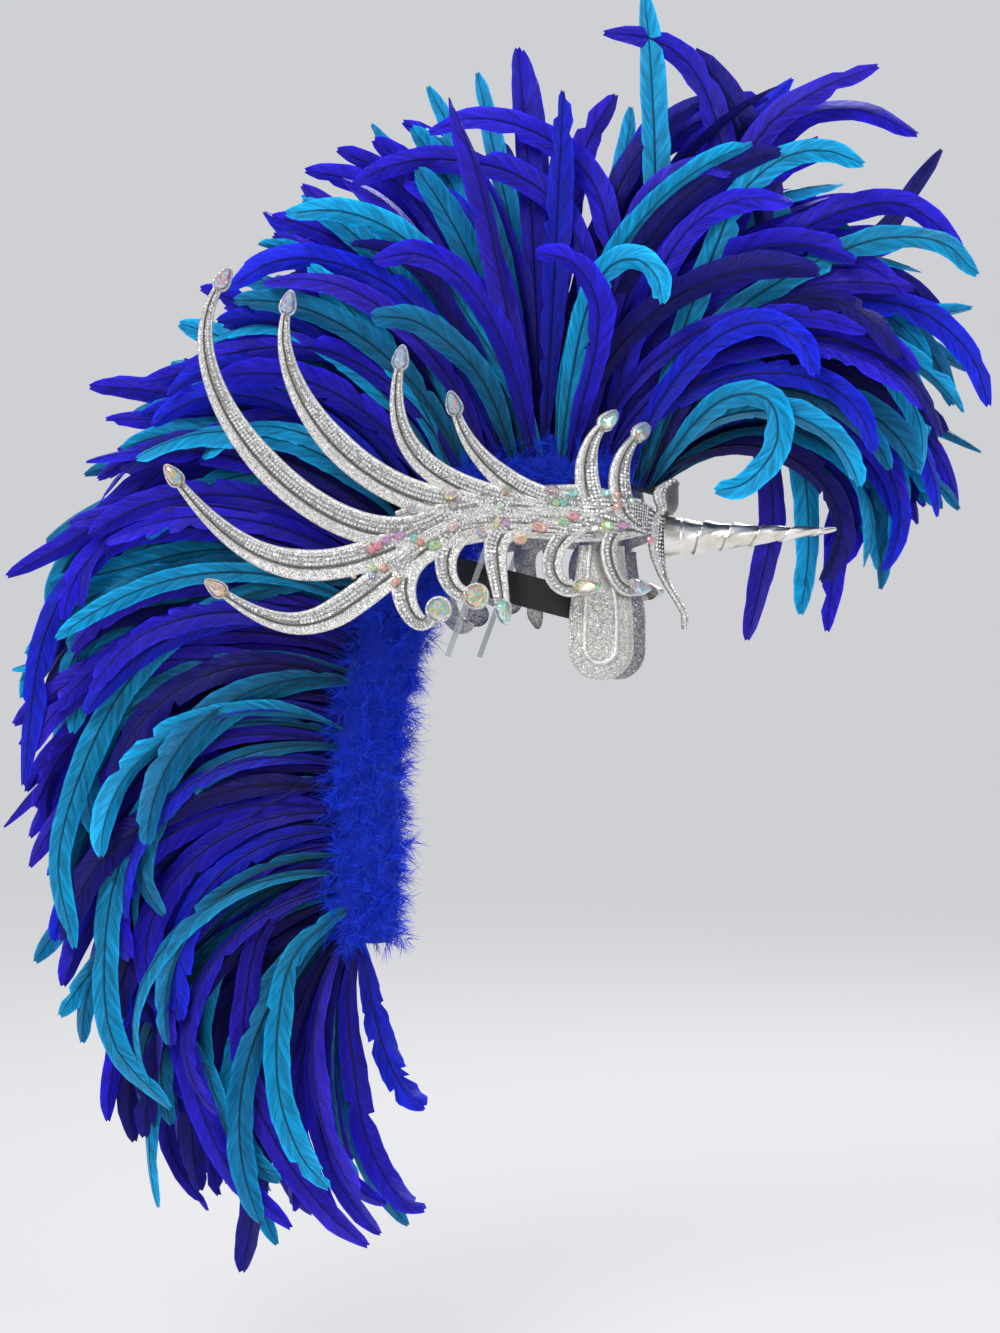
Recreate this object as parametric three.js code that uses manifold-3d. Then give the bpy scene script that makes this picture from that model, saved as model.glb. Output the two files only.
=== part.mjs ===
// Showgirl feather headdress: a horned crown that carries a tall crest of dyed tail feathers.
// Millimetres. +X is the wearer's front, +Z is up and -Y is the wearer's right.
// The origin is the middle of the opening that the head goes into.
import * as THREE from "three";
import { mergeVertices } from "three/addons/utils/BufferGeometryUtils.js";
import Module from "manifold-3d";

const wasm = await Module();
wasm.setup();

// Clearance between pieces that touch
const gap = 0.3;

// Head opening and band
const headLength = 200;
const headBreadth = 156;
const bandWall = 3;
const bandHeight = 28;
const bandTilt = 14.5;
const bandBack = 4;
const bandDrop = 4;
const bandFacets = 18;
const bandEnd = 42;

// Shell that the side plates and the front plate follow, above the band
const shellInset = 9;
const shellSpread = 13;
const shellBack = 12;
const shellFlare = 45;
const shellFlareRun = 350;
const shellSkirt = 40;
const shellSkirtLean = 0.24;

// Side plates
const plateThickness = 5;
const plateReach = 330;
const plateRise = 265;
const plateFront = 95;
const prongWidth = 0.079 * plateReach;
const scrollWidth = 0.0575 * plateReach;
const strandStep = 62;

// Crystal trim on the side plates
const chainWidth = 4;
const chainHeight = 2.2;
const bedHeight = 1.5;
const bedShare = 0.7;

// Stones at the ends of the prongs and scrolls
const pearLength = 21;
const pearWidth = 13;
const roundStone = 0.06 * plateReach;
const stoneHeight = 6;
const stoneRim = 1.2;

// Front plate
const frontTop = 104;
const frontFoot = 30;
const frontHalfWidth = 37;
const frontThickness = 4;

// Horn
const hornLength = 152;
const hornBase = 37;
const hornTip = 4;
const hornHeight = 52;
const hornRise = 2.4;
const hornCollar = 16;
const hornTurns = 6;
const hornGroove = 1.5;

// Temple tabs
const tabThickness = 4;
const tabWidth = 54;
const tabTop = 42;
const tabLow = 75;
const tabMiddle = 36;
const tabRib = 4.5;
const tabRibHeight = 2.5;
const tabRibSpan = 31;
const tabRibFoot = 13;
const tabLean = 1.15;

// Clear stays
const stayWidth = 5;
const stayThickness = 1.6;
const stayLength = 128;
const stayTop = 66;
const stayMiddle = -52;
const staySlope = 20;

// Spine that the crest stands on
const spineReach = 270;
const spineDrop = 418;
const spineTop = 108;
const spineClearance = 4;
const spineSteps = 20;
const ribWidth = 44;
const ribThickness = 6;
const postWidth = 16;
const postThickness = 6;
const postShare = 0.43;

// Boa round the spine
const boaWidth = 78;
const boaDepth = 80;
const boaTufts = 8;
const boaTuftDepth = 0.16;
const boaStep = 42;
const boaStart = 0.035;

// Crest of feather locks
const featherLength = 440;
const lockWidth = 74;
const lockThickness = 4;
const backingHeight = 11;
const backingWidth = 13;
const rootSink = 4;
const crestCrowd = 1.15;
const rowSpacing = 14.5;
const layerSpacing = 4.4;

// Line of the spine, front first: shares of its reach from the back and of its drop from the tail
const spineLine = [
  { reach: 1.0, drop: 0.964 },
  { reach: 0.823, drop: 0.995 },
  { reach: 0.628, drop: 1.0 },
  { reach: 0.466, drop: 0.978 },
  { reach: 0.336, drop: 0.935 },
  { reach: 0.238, drop: 0.861 },
  { reach: 0.166, drop: 0.773 },
  { reach: 0.108, drop: 0.677 },
  { reach: 0.061, drop: 0.569 },
  { reach: 0.025, drop: 0.462 },
  { reach: 0.02, drop: 0.376 },
  { reach: 0.02, drop: 0.182 },
  { reach: 0.0, drop: 0.0 },
];

// How the feathers leave the spine, front first: the share along it, the angle that they leave at,
// how far they turn by the tip in degrees, and the share of the longest feather
const crestFlow = [
  { along: 0.0, leave: 50, turn: -142, length: 0.66 },
  { along: 0.045, leave: 55, turn: -135, length: 0.82 },
  { along: 0.09, leave: 68, turn: -108, length: 0.94 },
  { along: 0.13, leave: 77, turn: -75, length: 0.97 },
  { along: 0.16, leave: 83, turn: -38, length: 0.99 },
  { along: 0.18, leave: 88, turn: -6, length: 0.97 },
  { along: 0.21, leave: 93, turn: 38, length: 0.8 },
  { along: 0.26, leave: 100, turn: 58, length: 0.74 },
  { along: 0.32, leave: 112, turn: 62, length: 0.69 },
  { along: 0.39, leave: 126, turn: 68, length: 0.74 },
  { along: 0.45, leave: 138, turn: 75, length: 0.83 },
  { along: 0.53, leave: 148, turn: 85, length: 0.84 },
  { along: 0.6, leave: 155, turn: 95, length: 0.83 },
  { along: 0.68, leave: 160, turn: 100, length: 0.84 },
  { along: 0.8, leave: 168, turn: 106, length: 0.8 },
  { along: 0.87, leave: 176, turn: 106, length: 0.8 },
  { along: 0.93, leave: 190, turn: 96, length: 0.84 },
  { along: 0.97, leave: 218, turn: 72, length: 0.77 },
  { along: 1.0, leave: 262, turn: 34, length: 0.6 },
];

// Rows of the crest: where each starts along the spine, how its backing stands to the middle, and
// the layers that its locks take in turn, with their place in layer spacings, their lean outwards and the
// share of the full length
const crestRows = [
  {
    name: "right",
    side: -1,
    middle: rowSpacing,
    from: 0.0,
    layers: [
      { aside: -1, lean: 0.1, length: 0.97 },
      { aside: 0, lean: 0.21, length: 0.9 },
      { aside: 1, lean: 0.31, length: 0.82 },
    ],
  },
  {
    name: "centre",
    side: 1,
    middle: 0,
    from: 0.045,
    layers: [
      { aside: -0.68, lean: -0.035, length: 1 },
      { aside: 0.68, lean: 0.035, length: 0.96 },
    ],
  },
  {
    name: "left",
    side: 1,
    middle: rowSpacing,
    from: 0.0,
    layers: [
      { aside: -1, lean: 0.1, length: 0.97 },
      { aside: 0, lean: 0.21, length: 0.9 },
      { aside: 1, lean: 0.31, length: 0.82 },
    ],
  },
];

// Stretches of the spine that share a backing, with the locks on each, and those of the boa, with the
// share along it where each ends
const crestStretches = [
  { name: "front", locks: 5 },
  { name: "top", locks: 3 },
  { name: "back", locks: 4 },
  { name: "lower", locks: 4 },
  { name: "tail", locks: 3 },
];
const locksPerRow = crestStretches.reduce((sum, { locks }) => sum + locks, 0);

// Share along the spine of a lock by its number: the locks crowd towards the front
function lockPlace(number) {
  return (number / locksPerRow) ** crestCrowd;
}

const boaStretches = [
  { name: "front", to: 0.2 },
  { name: "top", to: 0.34 },
  { name: "back", to: 0.5 },
  { name: "lower", to: 0.74 },
  { name: "tail", to: 1.0 },
];

// Width of a lock at even steps from its root to its tip, as shares of its widest
const lockShape = [0.27, 0.9, 1.0, 0.72];

// Strands of a side plate. Root and tip are shares of the plate's reach behind the head's middle and
// of its rise, the angles are headings at each end, the pulls are shares of the distance between
// them, and the widths are shares of the prong's or scroll's width at root, middle and tip
const prongs = [
  { root: [-0.31, 0.24], tip: [-0.885, 1.0], leave: 212, arrive: 59,
    pull: [1.1, 1.15], wide: [1.1, 1.0, 0.3] },
  { root: [-0.26, 0.29], tip: [-0.71, 0.92], leave: 176, arrive: 77,
    pull: [1.2, 0.9], wide: [1.1, 1.0, 0.3] },
  { root: [-0.12, 0.29], tip: [-0.415, 0.74], leave: 164, arrive: 80,
    pull: [1.45, 1.4], wide: [1.0, 0.8, 0.3] },
  { root: [0.045, 0.28], tip: [-0.265, 0.59], leave: 173, arrive: 106,
    pull: [1.05, 1.0], wide: [1.0, 0.8, 0.32] },
  { root: [0.094, 0.28], tip: [0.118, 0.545], leave: 110, arrive: 45,
    pull: [1.0, 1.1], wide: [0.95, 0.75, 0.32] },
  { root: [0.185, 0.28], tip: [0.225, 0.515], leave: 110, arrive: 42,
    pull: [1.4, 1.1], wide: [0.95, 0.75, 0.32] },
  { root: [-0.33, 0.22], tip: [-0.985, 0.36], leave: 209, arrive: 127,
    pull: [1.4, 1.5], wide: [1.1, 1.05, 0.3] },
  { root: [-0.31, 0.18], tip: [-0.87, 0.0], leave: 211, arrive: 144,
    pull: [1.45, 1.65], wide: [1.05, 1.0, 0.3] },
];
const scrolls = [
  { root: [-0.345, 0.155], tip: [-0.335, -0.075], leave: 215, arrive: 70,
    pull: [2.4, 1.1], wide: [1.5, 1.15, 0.75] },
  { root: [-0.21, 0.23], tip: [-0.24, -0.005], leave: 195, arrive: -18,
    pull: [1.75, 1.15], wide: [1.4, 1.05, 0.75] },
  { root: [-0.09, 0.235], tip: [-0.14, -0.03], leave: 198, arrive: -80,
    pull: [1.45, 1.8], wide: [1.4, 1.05, 0.7] },
  { root: [0.055, 0.22], tip: [0.044, 0.022], leave: 211, arrive: 35,
    pull: [2.6, 1.0], turned: -35, wide: [0.9, 0.85, 0.8] },
  { root: [0.168, 0.21], tip: [0.19, 0.022], leave: 199, arrive: 30,
    pull: [1.3, 1.1], turned: -30, wide: [0.8, 0.75, 0.75] },
];

// Body of a side plate that the strands leave from, front first, in the same shares
const plateBody = [
  { at: [1, 0.245], wide: 0.09 },
  { at: [0.85, 0.25], wide: 0.16 },
  { at: [0.5, 0.255], wide: 0.19 },
  { at: [0.05, 0.262], wide: 0.17 },
  { at: [-0.46, 0.262], wide: 0.17 },
  { at: [-1.0, 0.24], wide: 0.185 },
  { at: [-1.45, 0.21], wide: 0.12 },
];

// Half-width of the front plate from its top down, as shares, and how far its face leans forward
const frontOutline = [
  { down: 0.0, half: 0.14, forward: 0.1 },
  { down: 0.04, half: 0.62, forward: 0.11 },
  { down: 0.09, half: 1.2, forward: 0.12 },
  { down: 0.14, half: 1.4, forward: 0.12 },
  { down: 0.19, half: 1.3, forward: 0.11 },
  { down: 0.24, half: 0.84, forward: 0.0 },
  { down: 0.3, half: 0.98, forward: 0.0 },
  { down: 0.45, half: 1.0, forward: -0.01 },
  { down: 0.53, half: 0.82, forward: -0.02 },
  { down: 0.64, half: 0.5, forward: 0.0 },
  { down: 0.72, half: 0.38, forward: 0.05 },
  { down: 0.82, half: 0.28, forward: 0.13 },
  { down: 0.9, half: 0.22, forward: 0.186 },
  { down: 1.0, half: 0.1, forward: 0.186 },
];

const finishes = {
  band: { color: 0x0b0b0d, roughness: 0.9, metalness: 0 },
  frame: { color: 0x141418, roughness: 0.7, metalness: 0.1 },
  glitter: { color: 0xc9c7c4, roughness: 0.45, metalness: 0.6 },
  crystal: { color: 0xeaf0f6, roughness: 0.08, metalness: 0.1 },
  aurora: { color: 0xd8c4ee, roughness: 0.08, metalness: 0.2 },
  foil: { color: 0xc3bcae, roughness: 0.25, metalness: 0.9 },
  clear: { color: 0xdfe6ea, roughness: 0.15, metalness: 0 },
  marabou: { color: 0x0a20c4, roughness: 0.95, metalness: 0 },
  royal: { color: 0x2a1cb0, roughness: 0.6, metalness: 0 },
  turquoise: { color: 0x0090b8, roughness: 0.6, metalness: 0 },
};
for (const name of Object.keys(finishes)) finishes[name] = new THREE.MeshStandardMaterial(finishes[name]);

const headdress = new THREE.Group();
headdress.name = "feather_headdress";

const radians = THREE.MathUtils.degToRad;
const lerp = THREE.MathUtils.lerp;

// Values of a table at a place between its rows
function between(table, column, place) {
  let i = 1;
  while (i < table.length - 1 && table[i][column] < place) i++;
  const [low, high] = [table[i - 1], table[i]];
  const share = THREE.MathUtils.clamp((place - low[column]) / (high[column] - low[column]), 0, 1);
  const found = {};
  for (const key of Object.keys(low)) found[key] = lerp(low[key], high[key], share);
  return found;
}

// A solid from a closed geometry, turned right side out if it was mirrored
function solidFrom(geometry) {
  const bare = geometry.clone();
  bare.deleteAttribute("normal");
  bare.deleteAttribute("uv");
  const merged = mergeVertices(bare, 1e-4);
  const points = merged.attributes.position.array;
  const faces = new Uint32Array(merged.index.array);
  const corner = (i) => new THREE.Vector3().fromArray(points, 3 * i);
  let volume = 0;
  for (let i = 0; i < faces.length; i += 3) {
    volume += corner(faces[i]).dot(corner(faces[i + 1]).cross(corner(faces[i + 2])));
  }
  if (volume < 0) {
    for (let i = 0; i < faces.length; i += 3) [faces[i + 1], faces[i + 2]] = [faces[i + 2], faces[i + 1]];
  }
  return new wasm.Manifold(new wasm.Mesh({ numProp: 3, vertProperties: points, triVerts: faces }));
}

// A geometry from a solid
function geometryFrom(solid) {
  const mesh = solid.getMesh();
  const geometry = new THREE.BufferGeometry();
  geometry.setAttribute("position", new THREE.BufferAttribute(new Float32Array(mesh.vertProperties), 3));
  geometry.setIndex(new THREE.BufferAttribute(new Uint32Array(mesh.triVerts), 1));
  geometry.computeVertexNormals();
  return geometry;
}

function fuse(solids) {
  return solids.reduce((whole, next) => whole.add(next));
}

function addPiece(name, solid, finish) {
  const mesh = new THREE.Mesh(geometryFrom(solid), finish);
  mesh.name = name;
  headdress.add(mesh);
  return solid;
}

// The same solid on the wearer's other side
function mirrored(solid) {
  const geometry = geometryFrom(solid);
  const position = geometry.attributes.position;
  for (let i = 0; i < position.count; i++) position.setY(i, -position.getY(i));
  return solidFrom(geometry);
}

// A closed skin: place(turn, along, out) gives the point at a turn round it and a share along it,
// where out is 0 on its axis and 1 on its surface. A pointed skin ends in one point.
function skin(sides, steps, place, pointed = false) {
  const geometry = new THREE.CylinderGeometry(pointed ? 0 : 1, 1, 1, sides, steps);
  const position = geometry.attributes.position;
  const here = new THREE.Vector3();
  for (let i = 0; i < position.count; i++) {
    here.fromBufferAttribute(position, i);
    const along = here.y + 0.5;
    const out = Math.hypot(here.x, here.z) > 1e-6 ? 1 : 0;
    const turn = out ? Math.atan2(here.z, here.x) / (2 * Math.PI) : 0;
    const point = place(turn, along, out);
    position.setXYZ(i, point.x, point.y, point.z);
  }
  return solidFrom(geometry);
}

// Corners of a rectangle by turn, so that a four-sided skin has flat sides
function boxCorner(turn, width, depth, out) {
  const corner = ((Math.round(turn * 4) % 4) + 4) % 4;
  const [across, up] = [[1, 1], [-1, 1], [-1, -1], [1, -1]][corner];
  return [(across * width * out) / 2, (up * depth * out) / 2];
}

// Band round the back of the head, tilted down to the front, with its ends behind the temple tabs
const bandLong = headLength / 2 + bandWall;
const bandWide = headBreadth / 2 + bandWall;

function bandSolid(grow, wall) {
  const outline = new THREE.Shape();
  outline.absellipse(0, 0, bandLong + grow, bandWide + grow, 0, 2 * Math.PI);
  if (wall) {
    const hole = new THREE.Path();
    hole.absellipse(0, 0, bandLong - wall, bandWide - wall, 0, 2 * Math.PI, true);
    outline.holes.push(hole);
  }
  const height = bandHeight + 2 * grow;
  const ring = new THREE.ExtrudeGeometry(outline, {
    depth: height,
    bevelEnabled: false,
    curveSegments: bandFacets,
  });
  ring.translate(0, 0, -height / 2);
  ring.rotateY(radians(bandTilt));
  ring.translate(-bandBack, 0, -bandDrop);
  return solidFrom(ring);
}

// What lies in front of the band's ends
function bandOpening() {
  const box = new THREE.BoxGeometry(bandLong, 2 * headBreadth, 2 * headBreadth);
  box.translate(bandEnd + bandLong / 2, 0, 0);
  return solidFrom(box);
}

const bandSpace = bandSolid(gap, 0);
addPiece("head_band", bandSolid(0, bandWall).subtract(bandOpening()), finishes.band);

// The shell seen from above: round the front it follows an ellipse, and behind it flares out
const shellLong = bandLong - shellInset;
const shellWide = bandWide + shellSpread;

function shellAside(x) {
  const forward = x + shellBack;
  if (forward < 0) return shellWide + shellFlare * (forward / shellFlareRun) ** 2;
  return shellWide * Math.sqrt(Math.max(0, 1 - (forward / shellLong) ** 2));
}

// Corners that the shell bends at, by their distance forward along it from the head's middle
const shellBends = [
  -shellFlareRun,
  -0.51 * shellFlareRun,
  -0.37 * shellLong,
  0.27 * shellLong,
  0.72 * shellLong,
  1.25 * shellLong,
];

// The true shell's place at a distance forward along it
function shellPlace(forward) {
  if (forward <= -shellBack) return new THREE.Vector2(forward, shellAside(forward));
  const round = (shellLong + shellWide) / 2;
  const angle = (forward + shellBack) / round;
  return new THREE.Vector2(shellLong * Math.sin(angle) - shellBack, shellWide * Math.cos(angle));
}
const shellCorners = shellBends.map(shellPlace);

// The place on the faceted shell at a distance forward along it, and the outward direction there
function shellAt(forward) {
  let i = 1;
  while (i < shellBends.length - 1 && shellBends[i] < forward) i++;
  const share = (forward - shellBends[i - 1]) / (shellBends[i] - shellBends[i - 1]);
  const facing = (k) => {
    const behind = shellCorners[Math.max(k - 1, 0)];
    const ahead = shellCorners[Math.min(k + 1, shellCorners.length - 1)];
    return new THREE.Vector2(behind.y - ahead.y, ahead.x - behind.x).normalize();
  };
  return {
    point: shellCorners[i - 1].clone().lerp(shellCorners[i], share),
    normal: facing(i - 1).lerp(facing(i), share),
  };
}

// How far the shell leans out below its skirt line
function skirtOut(up) {
  return shellSkirtLean * Math.max(0, shellSkirt - up);
}

// Cuts each triangle of a flat piece where a plane across an axis passes, so that it can bend there
function cutAcross(geometry, axis, plane) {
  const source = geometry.index ? geometry.toNonIndexed() : geometry;
  const from = source.attributes.position;
  const kept = [];
  for (let i = 0; i < from.count; i += 3) {
    const corners = [0, 1, 2].map((k) => new THREE.Vector3().fromBufferAttribute(from, i + k));
    for (const side of [-1, 1]) {
      const ring = [];
      corners.forEach((a, k) => {
        const b = corners[(k + 1) % 3];
        const [da, db] = [(a[axis] - plane) * side, (b[axis] - plane) * side];
        if (da >= 0) ring.push(a);
        if (da * db < 0) {
          const [low, high] = a[axis] < b[axis] ? [a, b] : [b, a];
          ring.push(low.clone().lerp(high, (plane - low[axis]) / (high[axis] - low[axis])));
        }
      });
      if (!ring.some((p) => (p[axis] - plane) * side > 0)) continue;
      for (let k = 1; k < ring.length - 1; k++) kept.push(ring[0], ring[k], ring[k + 1]);
    }
  }
  return new THREE.BufferGeometry().setFromPoints(kept);
}

// A flat piece, drawn with X forward, Y up and its thickness outwards, bent on to the right shell
function bentRight(solid) {
  let geometry = geometryFrom(solid);
  geometry.deleteAttribute("normal");
  for (const bend of shellBends) geometry = cutAcross(geometry, "x", bend);
  geometry = cutAcross(geometry, "y", shellSkirt);
  const position = geometry.attributes.position;
  for (let i = 0; i < position.count; i++) {
    const [forward, up, thick] = [position.getX(i), position.getY(i), position.getZ(i)];
    const { point, normal } = shellAt(forward);
    const out = thick + skirtOut(up);
    position.setXYZ(i, point.x + normal.x * out, -(point.y + normal.y * out), up);
  }
  return solidFrom(geometry);
}

// A flat slab with this outline, from one distance off the shell to another
function slab(points, low, high) {
  const geometry = new THREE.ExtrudeGeometry(new THREE.Shape(points), {
    depth: high - low,
    bevelEnabled: false,
  });
  geometry.translate(0, 0, low);
  return solidFrom(geometry);
}

// A step of this length in the plane, at an angle in degrees
function towards(angle, length) {
  return new THREE.Vector2(length, 0).rotateAround(new THREE.Vector2(), radians(angle));
}

// Middle line of a strand as a cubic curve, from its root to its tip
function strandLine({ root, tip, leave, arrive, pull }) {
  const start = new THREE.Vector2(root[0] * plateReach, root[1] * plateRise);
  const end = new THREE.Vector2(tip[0] * plateReach, tip[1] * plateRise);
  const span = start.distanceTo(end);
  return new THREE.CubicBezierCurve(
    start,
    start.clone().add(towards(leave, (pull[0] * span) / 3)),
    end.clone().sub(towards(arrive, (pull[1] * span) / 3)),
    end,
  );
}

// Outline of a ribbon along a line, with a width at each share of the way, round at its tip
function ribbon(line, widthAt, steps) {
  const [left, right] = [[], []];
  for (let k = 0; k <= steps; k++) {
    const share = k / steps;
    const point = line.getPointAt(share);
    const tangent = line.getTangentAt(share);
    const half = widthAt(share) / 2;
    const across = new THREE.Vector2(-tangent.y, tangent.x).multiplyScalar(half);
    left.push(point.clone().add(across));
    right.unshift(point.clone().sub(across));
  }
  return [...left, ...right];
}

// How many straight stretches stand for a line
function stepsOf(line) {
  return THREE.MathUtils.clamp(Math.round(line.getLength() / strandStep), 4, 5);
}

function strandWidth(wide, full) {
  const [root, middle, tip] = wide.map((width) => width * full);
  return (share) => (share < 0.5 ? lerp(root, middle, 2 * share) : lerp(middle, tip, 2 * share - 1));
}

const strands = [
  ...prongs.map((prong) => ({ ...prong, full: prongWidth, line: strandLine(prong) })),
  ...scrolls.map((scroll) => ({ ...scroll, full: scrollWidth, line: strandLine(scroll) })),
];

const bodyLine = new THREE.SplineCurve(
  plateBody.map(({ at }) => new THREE.Vector2(at[0] * plateFront, at[1] * plateRise)),
);
const bodyWidths = plateBody.map(({ wide }) => wide * plateRise);

function bodyWidth(share) {
  const place = share * (bodyWidths.length - 1);
  const low = Math.min(Math.floor(place), bodyWidths.length - 2);
  return lerp(bodyWidths[low], bodyWidths[low + 1], place - low);
}

// Round pads that carry the two big round stones, moved off the tip by shares of a stone
const roundPads = scrolls.slice(0, 2).map(({ tip }, i) => {
  const shift = i === 0 ? [0.45, 0.3] : [0.5, -0.05];
  return new THREE.Vector2(
    tip[0] * plateReach + shift[0] * roundStone,
    tip[1] * plateRise + shift[1] * roundStone,
  );
});

function disc(centre, radius, sides) {
  return Array.from({ length: sides }, (_, k) => towards((360 * k) / sides, radius).add(centre));
}

// The side plate: its body, prongs and scrolls in one sheet of foam
function sidePlate() {
  const pieces = [
    slab(ribbon(bodyLine, bodyWidth, stepsOf(bodyLine)), 0, plateThickness),
    ...strands.map(({ line, wide, full }) =>
      slab(ribbon(line, strandWidth(wide, full), stepsOf(line)), 0, plateThickness),
    ),
    ...strands.map((strand, i) => slab(tipSeat(strand, i, stoneRim, true).outline, 0, plateThickness)),
  ];
  return bentRight(fuse(pieces));
}

const trimLow = plateThickness + gap;

// The crystal trim: a bed of stones on the body and a line of stones up each strand
function crystalTrim() {
  const lines = strands.map(({ line }) => {
    const upTo = new THREE.CubicBezierCurve(...cutShort(line));
    return slab(ribbon(upTo, () => chainWidth, 4), trimLow, trimLow + chainHeight);
  });
  const bedOutline = ribbon(bodyLine, (share) => bodyWidth(share) * bedShare, 4);
  const bed = slab(bedOutline, trimLow, trimLow + bedHeight);
  return bentRight(fuse([bed, ...lines]));
}

// Control points of a strand's line without the stretch under its tip stone
function cutShort(line) {
  const share = 0.94;
  const [a, b, c, d] = [line.v0, line.v1, line.v2, line.v3];
  const [ab, bc, cd] = [a.clone().lerp(b, share), b.clone().lerp(c, share), c.clone().lerp(d, share)];
  const [abc, bcd] = [ab.clone().lerp(bc, share), bc.clone().lerp(cd, share)];
  return [a, ab, abc, abc.clone().lerp(bcd, share)];
}

// A cut stone with a flat table: facets slope in from its outline to the table
function cutStone(outline, centre, low, high) {
  const tableShare = 0.5;
  const sides = outline.length;
  return skin(sides, 1, (turn, along, out) => {
    const corner = outline[((Math.round(turn * sides) % sides) + sides) % sides];
    const point = centre.clone().lerp(corner, out * (along > 0.5 ? tableShare : 1));
    return new THREE.Vector3(point.x, point.y, along > 0.5 ? high : low);
  });
}

// Outline of a pear stone whose point looks along an angle, from the middle of its round end. A seat
// for it has fewer corners.
function pearOutline(centre, angle, grow, plain) {
  const round = pearWidth / 2 + grow;
  const point = pearLength - pearWidth / 2 + grow;
  const shape = [
    [point, 0],
    [point * 0.55, round * 0.62],
    [round * 0.1, round],
    [-round * 0.75, round * 0.7],
    [-round, 0],
    [-round * 0.75, -round * 0.7],
    [round * 0.1, -round],
    [point * 0.55, -round * 0.62],
  ];
  const corners = plain ? shape.filter((_, k) => k % 4 !== 1 && k !== 7) : shape;
  const origin = new THREE.Vector2();
  return corners.map(([x, y]) => new THREE.Vector2(x, y).rotateAround(origin, radians(angle)).add(centre));
}

// Where the stone at the end of a strand sits, and its outline grown by a clearance
function tipSeat(strand, number, grow, plain = false) {
  const scroll = number - prongs.length;
  if (scroll === 0 || scroll === 1) {
    const outline = disc(roundPads[scroll], roundStone / 2 + grow, plain ? 8 : 12);
    return { centre: roundPads[scroll], outline };
  }
  const heading = strand.arrive + (strand.turned ?? 0);
  const centre = strand.line.getPointAt(1).add(towards(heading, pearWidth * 0.35));
  return { centre, outline: pearOutline(centre, heading, grow, plain) };
}

const tipStones = strands.map((strand, i) => {
  const { centre, outline } = tipSeat(strand, i, 0);
  return bentRight(cutStone(outline, centre, trimLow, trimLow + stoneHeight));
});
const plate = sidePlate();
const trim = crystalTrim();

addPiece("side_plate_right", plate, finishes.glitter);
addPiece("side_plate_left", mirrored(plate), finishes.glitter);
addPiece("crystal_trim_right", trim, finishes.crystal);
addPiece("crystal_trim_left", mirrored(trim), finishes.crystal);
tipStones.forEach((stone, i) => {
  addPiece(`tip_stone_right_${i + 1}`, stone, finishes.aurora);
  addPiece(`tip_stone_left_${i + 1}`, mirrored(stone), finishes.aurora);
});

// Front plate: a sheet that follows the shell round the brow and tapers to a foot on the band
const frontHeight = frontTop + frontFoot;

function frontSheet(down, across, out) {
  const row = between(frontOutline, "down", down);
  const aside = across * row.half * frontHalfWidth;
  const curved = shellLong * Math.sqrt(1 - (aside / shellWide) ** 2) - shellBack;
  const forward = curved + (row.forward * headLength) / 2;
  return new THREE.Vector3(forward + out, aside, frontTop - down * frontHeight);
}

const front = skin(10, 20, (turn, along, out) => {
  const place = ((Math.round(turn * 10) % 10) + 10) % 10;
  const outer = place < 5;
  const across = outer ? -1 + place / 2 : 1 - (place - 5) / 2;
  if (!out) return frontSheet(along, 0, frontThickness / 2);
  return frontSheet(along, across, outer ? frontThickness : 0);
});
addPiece("front_plate", front, finishes.glitter);

// Horn: a cone with a smooth collar and grooves that wind round it
const hornStart =
  gap +
  Math.max(
    ...[-1, 0, 1].map((side) => {
      const height = hornHeight + (side * hornBase) / 2;
      return frontSheet((frontTop - height) / frontHeight, 0, frontThickness).x;
    }),
  );

function hornSolid() {
  return skin(10, 14, (turn, along, out) => {
    const x = along * hornLength;
    const cone = lerp(hornBase, hornTip, along ** 0.9) / 2;
    const grooved = THREE.MathUtils.smoothstep(x, hornCollar, hornCollar * 1.3);
    const wave = Math.cos(2 * Math.PI * (turn + hornTurns * along ** 0.85));
    const radius = out * (cone - hornGroove * grooved * Math.max(0, wave) * (1 - 0.6 * along));
    const angle = 2 * Math.PI * turn;
    const point = new THREE.Vector3(x, radius * Math.cos(angle), radius * Math.sin(angle));
    point.applyAxisAngle(new THREE.Vector3(0, 1, 0), -radians(hornRise) * along);
    return point.add(new THREE.Vector3(hornStart, 0, hornHeight));
  });
}
addPiece("horn", hornSolid(), finishes.foil);

// Temple tabs: each hangs between a side plate and the band, with a raised hairpin rib. A tab bends where
// it clears the band's upper edge.
const tabClearance = 2 * gap;
const tabBends = [gap, gap + tabThickness];

// How far the band's outer face is from the middle plane at a place beside the head
function bandAside(x, up) {
  const tilt = radians(bandTilt);
  const along = (x + bandBack) * Math.cos(tilt) - (up + bandDrop) * Math.sin(tilt);
  return bandWide * Math.sqrt(Math.max(0, 1 - (along / bandLong) ** 2));
}

// Height of the band's upper edge at a place beside the head
function bandTopAt(x) {
  const tilt = radians(bandTilt);
  return -bandDrop - (x + bandBack) * Math.tan(tilt) + bandHeight / 2 / Math.cos(tilt);
}

// How far the inside of the faceted shell is from the middle plane at a place beside the head
function plateAside(x, up) {
  const corner = shellCorners.findIndex((place) => place.x > x);
  const [low, high] = [shellCorners[corner - 1], shellCorners[corner]];
  return lerp(low.y, high.y, (x - low.x) / (high.x - low.x)) + skirtOut(up);
}

function tabAside(x, up) {
  const outside = bandAside(x, Math.max(Math.min(up, bandTopAt(x)), -bandHeight)) + tabClearance;
  const under = plateAside(x, up) - (tabThickness + tabRibHeight) * tabLean - tabClearance;
  const above = THREE.MathUtils.smoothstep(up, bandTopAt(x), bandTopAt(x) + tabThickness);
  return lerp(outside, Math.min(under, outside), above);
}

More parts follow.
